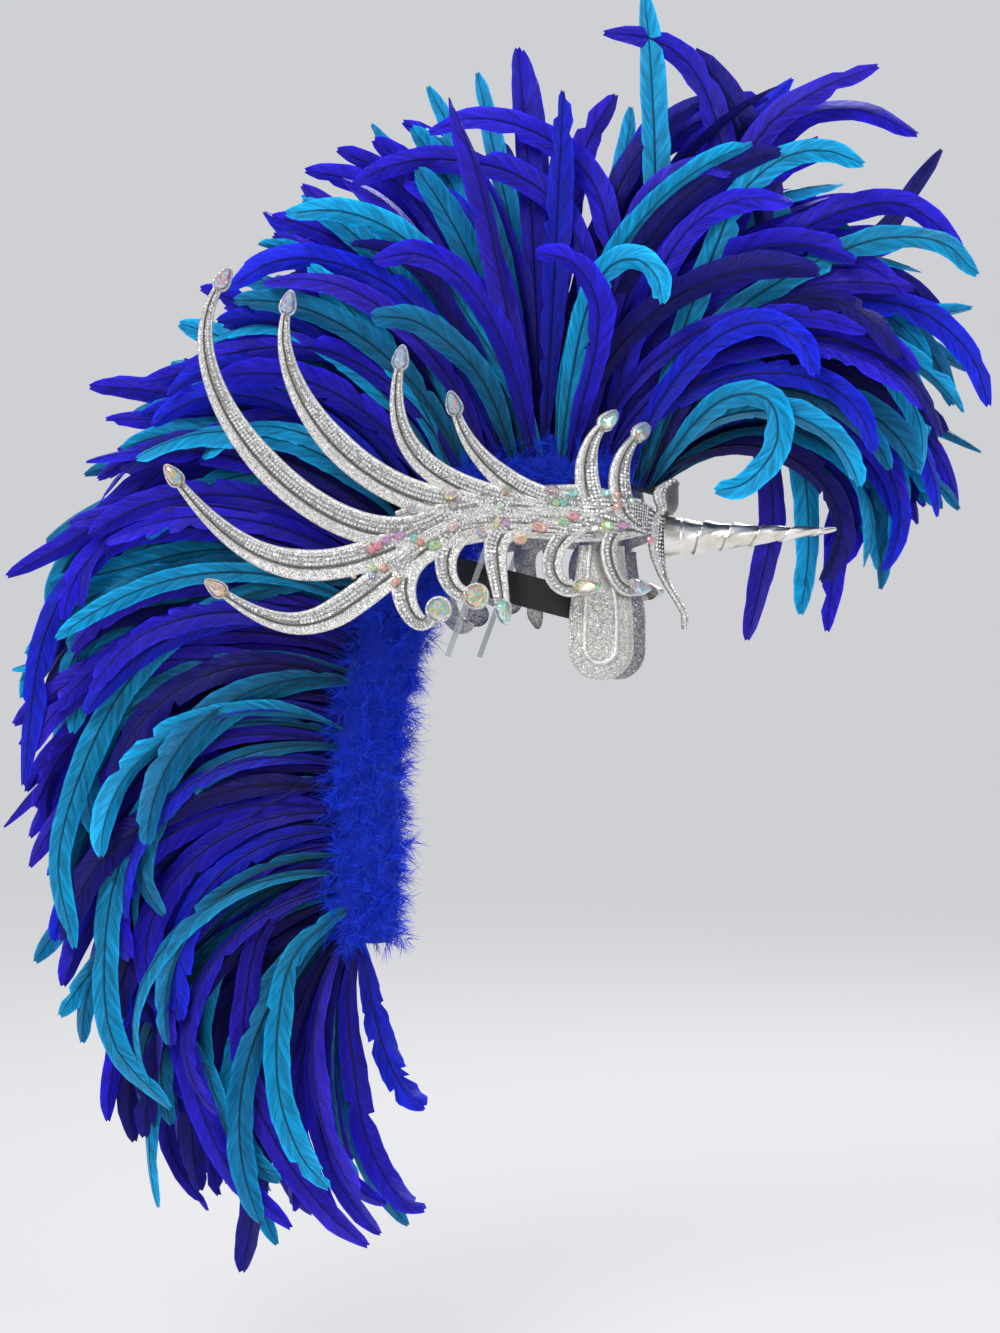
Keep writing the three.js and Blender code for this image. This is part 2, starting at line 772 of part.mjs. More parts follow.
// Outline of a tab or of its rib: a round foot and sides that draw in at the top
function tabOutline(half, low, top) {
  const points = [];
  for (let k = 0; k <= 3; k++) {
    const angle = Math.PI * (1 + k / 3);
    points.push(new THREE.Vector2(tabMiddle + half * Math.cos(angle), low + half * (1 + Math.sin(angle))));
  }
  for (const side of [1, -1]) points.push(new THREE.Vector2(tabMiddle + side * half * 0.7, top));
  return points;
}

function templeTab() {
  const blank = slab(tabOutline(tabWidth / 2, -tabLow, tabTop), 0, tabThickness);
  const ribOut = slab(
    tabOutline(tabRibSpan / 2, tabRibFoot - tabLow, tabTop - gap),
    tabThickness / 2,
    tabThickness + tabRibHeight,
  );
  const ribIn = slab(
    tabOutline(tabRibSpan / 2 - tabRib, tabRibFoot + tabRib - tabLow, tabTop + 1),
    tabThickness,
    tabThickness + 2 * tabRibHeight,
  );
  let geometry = geometryFrom(blank.add(ribOut.subtract(ribIn)));
  geometry.deleteAttribute("normal");
  const flat = geometry.attributes.position;
  for (let i = 0; i < flat.count; i++) flat.setY(i, flat.getY(i) - bandTopAt(flat.getX(i)));
  geometry = cutAcross(geometry, "x", tabMiddle);
  for (const rise of tabBends) geometry = cutAcross(geometry, "y", rise);
  const position = geometry.attributes.position;
  for (let i = 0; i < position.count; i++) {
    const [x, out] = [position.getX(i), position.getZ(i)];
    const up = position.getY(i) + bandTopAt(x);
    position.setXYZ(i, x, -(tabAside(x, up) + out * tabLean), up);
  }
  return solidFrom(geometry);
}
const tab = templeTab();
addPiece("temple_tab_right", tab, finishes.glitter);
addPiece("temple_tab_left", mirrored(tab), finishes.glitter);

// Line of the spine in the middle plane, and the way out of it at a share along. It starts just behind
// the front of the shell.
const spineFront = shellLong - shellBack - spineClearance;
const spineBack = spineFront - spineReach;
const spineLow = spineTop - spineDrop;
const spineCurve = new THREE.CatmullRomCurve3(
  spineLine.map(({ reach, drop }) => {
    return new THREE.Vector3(spineBack + reach * spineReach, 0, spineLow + drop * spineDrop);
  }),
);
const spineLength = spineCurve.getLength();

const spineStations = Array.from({ length: spineSteps + 1 }, (_, k) => {
  const tangent = spineCurve.getTangentAt(k / spineSteps);
  return { point: spineCurve.getPointAt(k / spineSteps), outward: new THREE.Vector3(tangent.z, 0, -tangent.x) };
});

function spineAt(share) {
  const place = THREE.MathUtils.clamp(share, 0, 1) * spineSteps;
  const low = Math.min(Math.floor(place), spineSteps - 1);
  const [before, after] = [spineStations[low], spineStations[low + 1]];
  return {
    point: before.point.clone().lerp(after.point, place - low),
    outward: before.outward.clone().lerp(after.outward, place - low),
  };
}

// A flat bar along a stretch of the spine, from one height over its line to another. Its top may
// be wider than its bottom.
function spineBar(from, to, middle, width, low, high, topWidth = width) {
  const inside = spineStations
    .map((_, k) => k / spineSteps)
    .filter((share) => share > from + 1e-4 && share < to - 1e-4);
  const shares = [from, ...inside, to];
  return skin(4, shares.length - 1, (turn, along, out) => {
    const { point, outward } = spineAt(shares[Math.round(along * (shares.length - 1))]);
    const [across, up] = boxCorner(turn, 1, high - low, out);
    const aside = middle + across * (up > 0 ? topWidth : width);
    return point.addScaledVector(outward, (low + high) / 2 + up).add(new THREE.Vector3(0, aside, 0));
  });
}

// Back post from the rib to the band
function postSolid(grow) {
  const { point } = spineAt(postShare);
  const end = -bandBack - bandLong * Math.cos(radians(bandTilt));
  const height = -bandDrop + bandLong * Math.sin(radians(bandTilt));
  const seat = new THREE.Vector3(end - gap * 2, 0, height);
  const length = seat.distanceTo(point);
  const post = new THREE.BoxGeometry(length + 2 * grow, postWidth + 2 * grow, postThickness + 2 * grow);
  post.rotateY(-Math.atan2(seat.z - point.z, seat.x - point.x));
  post.translate((seat.x + point.x) / 2, 0, (seat.z + point.z) / 2);
  return solidFrom(post);
}

const rib = spineBar(0, 1, 0, ribWidth, -ribThickness / 2, ribThickness / 2);
addPiece("spine_rib", rib.add(postSolid(0)).subtract(bandSpace), finishes.frame);

// Boa: a tufted roll round the rib, open on its outer side where the feathers stand
function boaSolid(from, to) {
  const steps = Math.max(2, Math.round(((to - from) * spineLength) / boaStep));
  const roll = skin(boaTufts, steps, (turn, along, out) => {
    const share = lerp(from, to, along);
    const { point, outward } = spineAt(share);
    const row = Math.round((share * spineLength) / boaStep);
    const tuft = 1 - boaTuftDepth * ((Math.round(turn * boaTufts) + row) % 2 === 0 ? 0 : 1);
    const angle = 2 * Math.PI * turn;
    const up = (out * tuft * boaDepth * Math.sin(angle)) / 2;
    const aside = (out * tuft * boaWidth * Math.cos(angle)) / 2;
    return point.addScaledVector(outward, up).add(new THREE.Vector3(0, aside, 0));
  });
  const slot = spineBar(
    Math.max(0, from - 0.05),
    Math.min(1, to + 0.05),
    0,
    ribWidth + 2 * gap,
    -ribThickness / 2 - gap,
    boaDepth * 0.7,
    ribWidth * 2,
  );
  return roll.subtract(slot).subtract(postSolid(gap)).subtract(bandSpace);
}

let boaFrom = boaStart;
for (const { name, to } of boaStretches) {
  const share = gap / spineLength;
  addPiece(`boa_${name}`, boaSolid(boaFrom + share, to - share), finishes.marabou);
  boaFrom = to;
}

// Crest: locks of feathers that fan from a backing on the rib
function lockTrack(share, layer) {
  const flow = between(crestFlow, "along", share);
  const { point, outward } = spineAt(share);
  const start = point.addScaledVector(outward, ribThickness / 2 + gap + backingHeight - rootSink);
  const length = featherLength * flow.length * layer.length;
  const steps = lockShape.length * 4;
  const track = [{ x: start.x, z: start.z, heading: radians(flow.leave), run: 0 }];
  for (let k = 1; k <= steps; k++) {
    const last = track[k - 1];
    const heading = radians(flow.leave + flow.turn * ((k - 0.5) / steps) ** 1.1);
    const step = length / steps;
    track.push({
      x: last.x + step * Math.cos(heading),
      z: last.z + step * Math.sin(heading),
      heading,
      run: last.run + step,
    });
  }
  return track.filter((_, k) => k % 4 === 0);
}

function lockSolid(share, row, layer) {
  const track = lockTrack(share, layer);
  const last = track.length - 1;
  return skin(4, last, (turn, along, out) => {
    const number = Math.round(along * last);
    const { x, z, heading, run } = track[number];
    const half = (out * lockWidth * (lockShape[number] ?? 0)) / 2;
    const corner = ((Math.round(turn * 4) % 4) + 4) % 4;
    const across = [half, 0, -half, 0][corner];
    const thick = [0, 1, 0, -1][corner] * out * (lockThickness / 2);
    const aside = row.side * (row.middle + layer.aside * layerSpacing + layer.lean * run);
    return new THREE.Vector3(x - across * Math.sin(heading), aside + thick, z + across * Math.cos(heading));
  }, true);
}

for (const row of crestRows) {
  let done = 0;
  for (const { name, locks } of crestStretches) {
    const share = gap / spineLength;
    const [from, to] = [Math.max(row.from, lockPlace(done)), lockPlace(done + locks)];
    const [low, high] = [ribThickness / 2 + gap, ribThickness / 2 + gap + backingHeight];
    const backing = spineBar(from + share, to - share, row.side * row.middle, backingWidth, low, high);
    const standing = [];
    for (let k = done; k < done + locks; k++) {
      const place = lockPlace(k + 0.5);
      if (place > from) standing.push(lockSolid(place, row, row.layers[k % row.layers.length]));
    }
    const finish = name === "back" ? finishes.turquoise : finishes.royal;
    addPiece(`crest_${row.name}_${name}`, fuse([backing, ...standing]), finish);
    done += locks;
  }
}

// Clear stays: a plain strip from inside each side plate down behind the head
function staySolid() {
  const strip = new THREE.BoxGeometry(stayWidth, stayThickness, stayLength);
  strip.translate(0, 0, -stayLength / 2);
  strip.rotateY(radians(staySlope));
  strip.translate(stayMiddle, gap + stayThickness / 2 - plateAside(stayMiddle, stayTop), stayTop);
  return solidFrom(strip);
}
const stay = staySolid();
addPiece("clear_stay_right", stay, finishes.clear);
addPiece("clear_stay_left", mirrored(stay), finishes.clear);

export default headdress;
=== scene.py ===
"""Showgirl feather headdress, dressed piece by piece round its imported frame.

Lengths are metres. +X is the wearer's front, +Z is up and -Y is the wearer's right.
"""

import logging
import math
from dataclasses import dataclass, field
from enum import Enum
from itertools import chain
from typing import Callable, Iterator, Sequence

import bpy
import numpy as np
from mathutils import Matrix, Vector


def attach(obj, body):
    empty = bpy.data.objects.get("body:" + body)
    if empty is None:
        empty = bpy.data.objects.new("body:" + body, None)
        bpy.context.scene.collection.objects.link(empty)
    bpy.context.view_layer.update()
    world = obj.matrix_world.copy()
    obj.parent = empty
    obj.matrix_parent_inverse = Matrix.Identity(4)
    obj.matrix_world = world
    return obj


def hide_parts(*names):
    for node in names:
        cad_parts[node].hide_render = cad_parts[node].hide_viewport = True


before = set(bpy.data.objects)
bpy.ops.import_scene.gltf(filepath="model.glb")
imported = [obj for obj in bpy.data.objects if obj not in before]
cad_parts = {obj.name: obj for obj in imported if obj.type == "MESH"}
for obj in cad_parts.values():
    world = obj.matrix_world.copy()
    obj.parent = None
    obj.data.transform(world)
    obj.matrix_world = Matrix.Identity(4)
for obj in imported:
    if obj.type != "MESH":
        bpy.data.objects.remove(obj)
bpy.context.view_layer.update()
LOG = logging.getLogger("headdress")
Array = np.ndarray
Random = np.random.Generator
Material = bpy.types.Material
Socket = bpy.types.NodeSocket
BODY = "root"
PER_METRE = 1000
SHAFT_POINTS = 40
VEIN_POINTS = 34


class Side(Enum):
    """The wearer's two sides, with the way outwards along Y."""

    RIGHT = -1
    LEFT = 1

    @property
    def word(self) -> str:
        """The side's name as the nodes have it."""
        return self.name.lower()


class Dye(Enum):
    """Dye lots of the feathers, as linear colours."""

    ROYAL = (0.012, 0.006, 0.520)
    COBALT = (0.003, 0.012, 0.580)
    VIOLET = (0.021, 0.009, 0.460)
    NAVY = (0.004, 0.003, 0.180)
    TURQUOISE = (0.0, 0.300, 0.620)
    TEAL = (0.0, 0.150, 0.350)


class Glow(Enum):
    """Hues that a rainbow-coated stone throws back, as linear colours."""

    SUN = (0.93, 0.86, 0.22)
    ROSE = (0.95, 0.32, 0.50)
    CORAL = (0.98, 0.33, 0.24)
    MINT = (0.28, 0.80, 0.55)
    SKY = (0.32, 0.74, 0.92)
    LILAC = (0.66, 0.45, 0.90)
    PEACH = (0.98, 0.66, 0.42)
    CREAM = (0.95, 0.90, 0.70)


SUN, ROSE, CORAL, MINT, SKY, LILAC, PEACH, CREAM = Glow


def unit(vectors: Array) -> Array:
    """Vectors along the last axis, scaled to length one."""
    return vectors / np.maximum(np.linalg.norm(vectors, axis=-1, keepdims=True), 1e-9)


def smoothstep(low: float, high: float, value: Array) -> Array:
    """Eases from 0 at one value to 1 at another.

    Args:
        low: Value where the result is 0.
        high: Value where the result is 1.
        value: Numbers to ease.

    Returns:
        The eased shares.
    """
    share = np.clip((np.asarray(value, float) - low) / (high - low), 0, 1)
    return share * share * (3 - 2 * share)


def heading(degrees: Array | float) -> Array:
    """Unit vectors in a plane at angles in degrees."""
    angle = np.radians(degrees)
    return np.stack([np.cos(angle), np.sin(angle)], -1)


def table_at(rows: Sequence[Sequence[float]], place: Array) -> Array:
    """Columns of a table between its rows.

    Args:
        rows: Rows whose first column rises.
        place: Values of the first column to look up.

    Returns:
        One row of the other columns for each place.
    """
    table = np.array(rows, float)
    columns = [np.interp(place, table[:, 0], table[:, k]) for k in range(1, table.shape[1])]
    return np.stack(columns, -1)


def even(points: Array, count: int) -> Array:
    """A polyline's points again, evenly spaced along it.

    Args:
        points: The polyline, one point a row.
        count: How many points to return.

    Returns:
        The new points.
    """
    steps = np.linalg.norm(np.diff(points, axis=0), axis=1)
    run = np.concatenate([[0], np.cumsum(steps)])
    at = np.linspace(0, run[-1], count)
    return np.stack([np.interp(at, run, points[:, k]) for k in range(points.shape[1])], -1)


def through(points: Sequence[Sequence[float]], count: int) -> Array:
    """A smooth line through a few points, evenly spaced.

    Args:
        points: Points that the line passes.
        count: How many points to return.

    Returns:
        The line's points.
    """
    knots = np.array(points, float)
    ends = np.vstack([2 * knots[0] - knots[1], knots, 2 * knots[-1] - knots[-2]])
    pieces = []
    for k in range(len(knots) - 1):
        a, b, c, d = ends[k : k + 4]
        t = np.linspace(0, 1, 24, endpoint=False)[:, None]
        pieces.append(
            0.5 * (2 * b + (c - a) * t + (2 * a - 5 * b + 4 * c - d) * t**2 + (3 * b - a - 3 * c + d) * t**3)
        )
    return even(np.vstack([*pieces, knots[-1:]]), count)


def cubic(a: Array, b: Array, c: Array, d: Array, count: int) -> Array:
    """Points of a cubic curve, evenly spaced.

    Args:
        a: Start.
        b: First control point.
        c: Second control point.
        d: End.
        count: How many points to return.

    Returns:
        The curve's points.
    """
    t = np.linspace(0, 1, 80)[:, None]
    return even((1 - t) ** 3 * a + 3 * (1 - t) ** 2 * t * b + 3 * (1 - t) * t**2 * c + t**3 * d, count)


def tangents(line: Array) -> Array:
    """Unit directions along a line of points."""
    return unit(np.gradient(line, axis=0))


@dataclass
class Surface:
    """Points and faces gathered for one piece, with a colour and a place on each corner."""

    points: list[Array] = field(default_factory=list)
    faces: list[Array] = field(default_factory=list)
    tints: list[Array] = field(default_factory=list)
    places: list[Array] = field(default_factory=list)
    count: int = 0

    def add(
        self, points: Array, faces: Array, tints: Array | None = None, places: Array | None = None
    ) -> None:
        """Adds faces that all have the same number of corners.

        Args:
            points: One point a row.
            faces: One face a row, as numbers of its points.
            tints: A colour for each point, or for each face, or one for all.
            places: A pair of coordinates for each point.
        """
        points = np.asarray(points, float).reshape(-1, 3)
        faces = np.asarray(faces, int)
        tints = np.ones(3) if tints is None else np.asarray(tints, float)
        if tints.ndim == 1:
            corners = np.broadcast_to(tints, (*faces.shape, 3))
        elif len(tints) == len(points):
            corners = tints[faces]
        else:
            corners = np.broadcast_to(tints[:, None, :], (*faces.shape, 3))
        spots = np.zeros((len(points), 2)) if places is None else np.asarray(places, float)
        self.points.append(points)
        self.faces.append(faces + self.count)
        self.tints.append(corners.reshape(-1, 3))
        self.places.append(spots[faces].reshape(-1, 2))
        self.count += len(points)

    def grid(
        self, points: Array, tints: Array | None = None, places: Array | None = None, closed: bool = False
    ) -> None:
        """Adds sheets of four-cornered faces.

        Args:
            points: Rows and columns of points, or several such sheets.
            tints: A colour for each point, or one for all.
            places: A pair of coordinates for each point.
            closed: Whether the last column joins the first.
        """
        sheets = points.reshape(-1, *points.shape[-3:])
        number, rows, columns = sheets.shape[:3]
        steps = np.arange(columns if closed else columns - 1)
        row, column = np.meshgrid(np.arange(rows - 1), steps, indexing="ij")
        first = row * columns
        beside = (column + 1) % columns
        corners = [first + column, first + beside, first + columns + beside, first + columns + column]
        quads = np.stack(corners, -1).reshape(-1, 4)
        faces = (quads + (np.arange(number) * rows * columns)[:, None, None]).reshape(-1, 4)
        flat = None if tints is None else (tints if tints.ndim == 1 else tints.reshape(-1, 3))
        spots = None if places is None else places.reshape(-1, 2)
        self.add(sheets.reshape(-1, 3), faces, flat, spots)

    def skin(
        self, rings: Array, tints: Array | None = None, places: Array | None = None, lid: Array | None = None,
        counter: bool = False,
    ) -> None:
        """Adds a skin of closed rings with a flat lid at each end.

        Args:
            rings: One ring of points a row.
            tints: A colour for each point, or one for all.
            places: A pair of coordinates for each point.
            lid: Colour of the lids.
            counter: Whether the rings run the other way round.
        """
        self.grid(rings, tints, places, closed=True)
        ends = np.stack([rings[0], rings[-1][::-1]])
        faces = np.arange(2 * rings.shape[1]).reshape(2, -1)
        self.add(ends, faces if counter else faces[:, ::-1], lid)

    def make(self, name: str, finish: Material, smooth: bool = True) -> bpy.types.Object:
        """Turns what was gathered into an object.

        Args:
            name: The piece's name.
            finish: Its material.
            smooth: Whether its faces shade smoothly.

        Returns:
            The new object, in the scene.
        """
        mesh = bpy.data.meshes.new(name)
        points = np.vstack(self.points)
        loops = np.concatenate([f.ravel() for f in self.faces])
        sizes = np.concatenate([np.full(len(f), f.shape[1]) for f in self.faces])
        mesh.vertices.add(len(points))
        mesh.vertices.foreach_set("co", points.astype(np.float32).ravel())
        mesh.loops.add(len(loops))
        mesh.loops.foreach_set("vertex_index", loops.astype(np.int32))
        mesh.polygons.add(len(sizes))
        mesh.polygons.foreach_set("loop_start", np.concatenate([[0], np.cumsum(sizes)[:-1]]).astype(np.int32))
        mesh.polygons.foreach_set("use_smooth", np.full(len(sizes), smooth))
        places = mesh.uv_layers.new(name="Place")
        places.uv.foreach_set("vector", np.vstack(self.places).astype(np.float32).ravel())
        tint = mesh.color_attributes.new("Tint", "FLOAT_COLOR", "CORNER")
        colours = np.vstack(self.tints)
        opaque = np.hstack([colours, np.ones((len(colours), 1))])
        tint.data.foreach_set("color", opaque.astype(np.float32).ravel())
        mesh.update(calc_edges=True)
        mesh.validate()
        mesh.materials.append(finish)
        piece = bpy.data.objects.new(name, mesh)
        bpy.context.scene.collection.objects.link(piece)
        return piece


def show(
    surface: Surface, name: str, finish: Material, slot: str, *nodes: str, smooth: bool = True
) -> None:
    """Makes a piece of what was gathered and puts it on the frame.

    Args:
        surface: The gathered faces.
        name: The piece's name.
        finish: Its material.
        slot: Name of a material slot; not used.
        nodes: The frame's nodes that it stands for.
        smooth: Whether its faces shade smoothly.
    """
    piece = surface.make(name, finish, smooth)
    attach(piece, BODY)
    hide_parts(*nodes)
    LOG.info("%s: %d faces, for %s", piece.name, len(piece.data.polygons), ", ".join(nodes))


def belt(sides: int, rows: int = 1) -> Array:
    """Four-cornered faces between rings of points that follow each other.

    Args:
        sides: Points in a ring.
        rows: How many rows of faces.

    Returns:
        One face a row.
    """
    here = np.arange(sides)
    beside = (here + 1) % sides
    quads = np.stack([here, beside, beside + sides, here + sides], -1)
    return np.vstack([quads + row * sides for row in range(rows)])


class Shader:
    """A material's node tree, built up node by node round one surface shader."""

    def __init__(self, name: str) -> None:
        """Starts a material with its surface shader.

        Args:
            name: The material's name.
        """
        self.material = bpy.data.materials.new(name)
        self.material.use_nodes = True
        self.tree = self.material.node_tree
        self.surface = self.tree.nodes["Principled BSDF"]

    def node(self, kind: str, **settings: object) -> bpy.types.Node:
        """Adds a node.

        Args:
            kind: Its type name.
            settings: Properties to set on it.

        Returns:
            The node.
        """
        made = self.tree.nodes.new(kind)
        for name, value in settings.items():
            setattr(made, name, value)
        return made

    def feed(self, socket: Socket, value: object) -> None:
        """Links an output to an input, or sets a constant on the input.

        Args:
            socket: The input.
            value: Another node's output, or a constant.
        """
        if isinstance(value, Socket):
            self.tree.links.new(value, socket)
        else:
            socket.default_value = value

    def math(self, operation: str, a: object, b: object = 0.0, c: object = 0.0) -> Socket:
        """The result of one operation on numbers.

        Args:
            operation: The operation's name.
            a: First number or socket.
            b: Second number or socket.
            c: Third number or socket.

        Returns:
            The socket with the result.
        """
        made = self.node("ShaderNodeMath", operation=operation)
        for socket, value in zip(made.inputs, (a, b, c)):
            self.feed(socket, value)
        return made.outputs[0]

    def vector(self, operation: str, a: object, b: object = (0.0, 0.0, 0.0)) -> Socket:
        """The result of one operation on vectors.

        Args:
            operation: The operation's name.
            a: First vector or socket.
            b: Second vector or socket.

        Returns:
            The socket with the result.
        """
        made = self.node("ShaderNodeVectorMath", operation=operation)
        self.feed(made.inputs[0], a)
        self.feed(made.inputs[1], b)
        return made.outputs[0]

    def tint(self) -> Socket:
        """The colour that each corner carries."""
        return self.node("ShaderNodeAttribute", attribute_name="Tint").outputs["Color"]

    def place(self) -> tuple[Socket, Socket]:
        """Looks up the two coordinates that each corner carries.

        Returns:
            The sockets of the first and the second.
        """
        split = self.node("ShaderNodeSeparateXYZ")
        self.feed(split.inputs[0], self.node("ShaderNodeUVMap", uv_map="Place").outputs[0])
        return split.outputs[0], split.outputs[1]

    def spot(self) -> Socket:
        """The piece's own coordinates, in metres."""
        return self.node("ShaderNodeTexCoord").outputs["Object"]

    def join(self, x: object, y: object, z: object = 0.0) -> Socket:
        """Makes a vector of three numbers or sockets.

        Args:
            x: First number or socket.
            y: Second number or socket.
            z: Third number or socket.

        Returns:
            The socket with the vector.
        """
        made = self.node("ShaderNodeCombineXYZ")
        for socket, value in zip(made.inputs, (x, y, z)):
            self.feed(socket, value)
        return made.outputs[0]

    def times(self, colour: object, factor: object) -> Socket:
        """A colour multiplied by another colour."""
        return self.mix(1.0, colour, factor, "MULTIPLY")

    def dimmed(self, colour: object, level: object) -> Socket:
        """A colour multiplied by a number."""
        return self.times(colour, self.join(level, level, level))

    def noise(self, vector: Socket, scale: float, detail: float = 2.0) -> Socket:
        """Soft noise from 0 to 1.

        Args:
            vector: Where it is looked up.
            scale: Lumps per unit.
            detail: How many finer layers it has.

        Returns:
            The socket with its value.
        """
        made = self.node("ShaderNodeTexNoise")
        self.feed(made.inputs["Vector"], vector)
        made.inputs["Scale"].default_value = scale
        made.inputs["Detail"].default_value = detail
        return made.outputs[0]

    def cells(self, size: float) -> Socket:
        """Gives each small cell of the piece a random colour.

        Args:
            size: A cell's size in metres.

        Returns:
            The socket with the colour.
        """
        made = self.node("ShaderNodeTexVoronoi")
        self.feed(made.inputs["Vector"], self.spot())
        made.inputs["Scale"].default_value = 1 / size
        return made.outputs["Color"]

    def spread(
        self, value: object, low: float, high: float, to_low: float, to_high: float
    ) -> Socket:
        """A value carried from one range to another, and held within it.

        Args:
            value: Number or socket.
            low: Lower end of its range.
            high: Upper end of its range.
            to_low: What the lower end becomes.
            to_high: What the upper end becomes.

        Returns:
            The socket with the result.
        """
        made = self.node("ShaderNodeMapRange")
        for socket, given in zip(made.inputs, (value, low, high, to_low, to_high)):
            self.feed(socket, given)
        return made.outputs[0]

    def mix(self, share: object, a: object, b: object, blend: str = "MIX") -> Socket:
        """Two colours mixed.

        Args:
            share: How much of the second, as a number or socket.
            a: First colour.
            b: Second colour.
            blend: How they mix.

        Returns:
            The socket with the result.
        """
        made = self.node("ShaderNodeMix", data_type="RGBA", blend_type=blend)
        self.feed(made.inputs["Factor"], share)
        self.feed(made.inputs[6], a)
        self.feed(made.inputs[7], b)
        return made.outputs[2]

    def bump(self, height: Socket, depth: float, strength: float = 1.0) -> Socket:
        """A surface direction that follows a height.

        Args:
            height: Height from 0 to 1.
            depth: What a height of 1 stands for, in metres.
            strength: Share of the effect that is kept.

        Returns:
            The socket with the direction.
        """
        made = self.node("ShaderNodeBump")
        made.inputs["Strength"].default_value = strength
        made.inputs["Distance"].default_value = depth
        self.feed(made.inputs["Height"], height)
        return made.outputs[0]

    def set(self, **values: object) -> None:
        """Sets or links the surface shader's inputs, by their names with _ for a blank."""
        for name, value in values.items():
            self.feed(self.surface.inputs[name.replace("_", " ")], value)


def rgba(colour: Sequence[float]) -> tuple[float, float, float, float]:
    """A colour with full cover."""
    return (float(colour[0]), float(colour[1]), float(colour[2]), 1.0)


@dataclass(frozen=True)
class FeatherFinish:
    """Dyed tail feather: silky barbs that run slantwise from a darker shaft to a rim painted paler as a
    highlight.
    """

    name: str
    sheen: tuple[float, float, float]
    slant: float = 1.25
    fine: float = 9.0
    coarse: float = 1.3
    depth: float = 0.0011

    def make(self) -> Material:
        """Builds the material.

        Returns:
            The material.
        """
        shader = Shader(self.name)
        along, across = shader.place()
        aside = shader.math("ABSOLUTE", across)
        barb = shader.math("SUBTRACT", along, shader.math("MULTIPLY", aside, self.slant))
        thin = shader.join(shader.math("MULTIPLY", barb, self.fine), shader.math("MULTIPLY", across, 0.6))
        streaks = shader.noise(thin, 1.0, 3.0)
        bands = shader.noise(shader.join(shader.math("MULTIPLY", barb, self.coarse), across), 1.0, 2.0)
        streaked = shader.spread(streaks, 0.3, 0.7, 0.62, 1.3)
        shade = shader.math("MULTIPLY", streaked, shader.spread(bands, 0.3, 0.7, 0.6, 1.3))
        dark_shaft = shader.spread(aside, 0.03, 0.12, 0.32, 1.0)
        # The outer rim of the vane gets a painted highlight, up to 1.6 times brighter.
        shaft = shader.math("MULTIPLY", dark_shaft, shader.spread(aside, 0.72, 1.0, 1.0, 1.6))
        shader.set(
            Base_Color=shader.dimmed(shader.dimmed(shader.tint(), shade), shaft),
            Roughness=shader.spread(streaks, 0.3, 0.7, 0.30, 0.48),
            Specular_IOR_Level=0.42,
            Specular_Tint=rgba(self.sheen),
            Sheen_Weight=0.06,
            Sheen_Roughness=0.35,
            Sheen_Tint=rgba(self.sheen),
            Normal=shader.bump(streaks, self.depth),
        )
        return shader.material


@dataclass(frozen=True)
class DownFinish:
    """Fluffy marabou fibres."""

    name: str = "marabou_down"
    sheen: tuple[float, float, float] = (0.2, 0.35, 1.0)

    def make(self) -> Material:
        """Builds the material.

        Returns:
            The material.
        """
        shader = Shader(self.name)
        shader.set(
            Base_Color=shader.tint(), Roughness=0.85, Sheen_Weight=0.6, Sheen_Roughness=0.5,
            Sheen_Tint=rgba(self.sheen), Specular_IOR_Level=0.25,
        )
        return shader.material


@dataclass(frozen=True)
class GlitterFinish:
    """Foam sheet covered with small bright flakes, each tilted its own way, each with a random brightness
    that paints its sparkle.
    """

    name: str = "silver_glitter"
    flake: float = 0.0008
    # Range of each flake's random brightness, a painted sparkle.
    dark: float = 0.30
    light: float = 0.88
    hue: float = 0.10
    tilt: float = 0.7
    silver: tuple[float, float, float] = (1.0, 0.975, 0.93)

    def make(self) -> Material:
        """Builds the material.

        Returns:
            The material.
        """
        shader = Shader(self.name)
        flakes = shader.cells(self.flake)
        split = shader.node("ShaderNodeSeparateColor")
        shader.feed(split.inputs[0], flakes)
        # Painted sparkle: each flake gets a random brightness between dark and light.
        bright = shader.spread(split.outputs[0], 0.0, 1.0, self.dark, self.light)
        tone = shader.mix(self.hue, shader.join(bright, bright, bright), flakes)
        centred = shader.vector("SUBTRACT", flakes, (0.5, 0.5, 0.5))
        lean = shader.vector("MULTIPLY", centred, (self.tilt, self.tilt, self.tilt))
        flat = shader.node("ShaderNodeNewGeometry").outputs["Normal"]
        shader.set(
            Base_Color=shader.times(shader.times(tone, rgba(self.silver)), shader.tint()),
            Metallic=0.45,
            Roughness=shader.spread(split.outputs[1], 0.0, 1.0, 0.22, 0.5),
            Normal=shader.vector("NORMALIZE", shader.vector("ADD", flat, lean)),
        )
        return shader.material


@dataclass(frozen=True)
class StoneFinish:
    """Cut crystal with a mirror backing; each facet carries a tint: painted reflection on the clear stones,
    and the coating's hues with painted reflection on the rainbow ones.
    """

    name: str
    metal: float
    rough: float = 0.07
    coat: float = 0.8

    def make(self) -> Material:
        """Builds the material.

        Returns:
            The material.
        """
        shader = Shader(self.name)
        shader.set(
            Base_Color=shader.tint(), Metallic=self.metal, Roughness=self.rough, Coat_Weight=self.coat,
            Coat_Roughness=0.03,
        )
        return shader.material


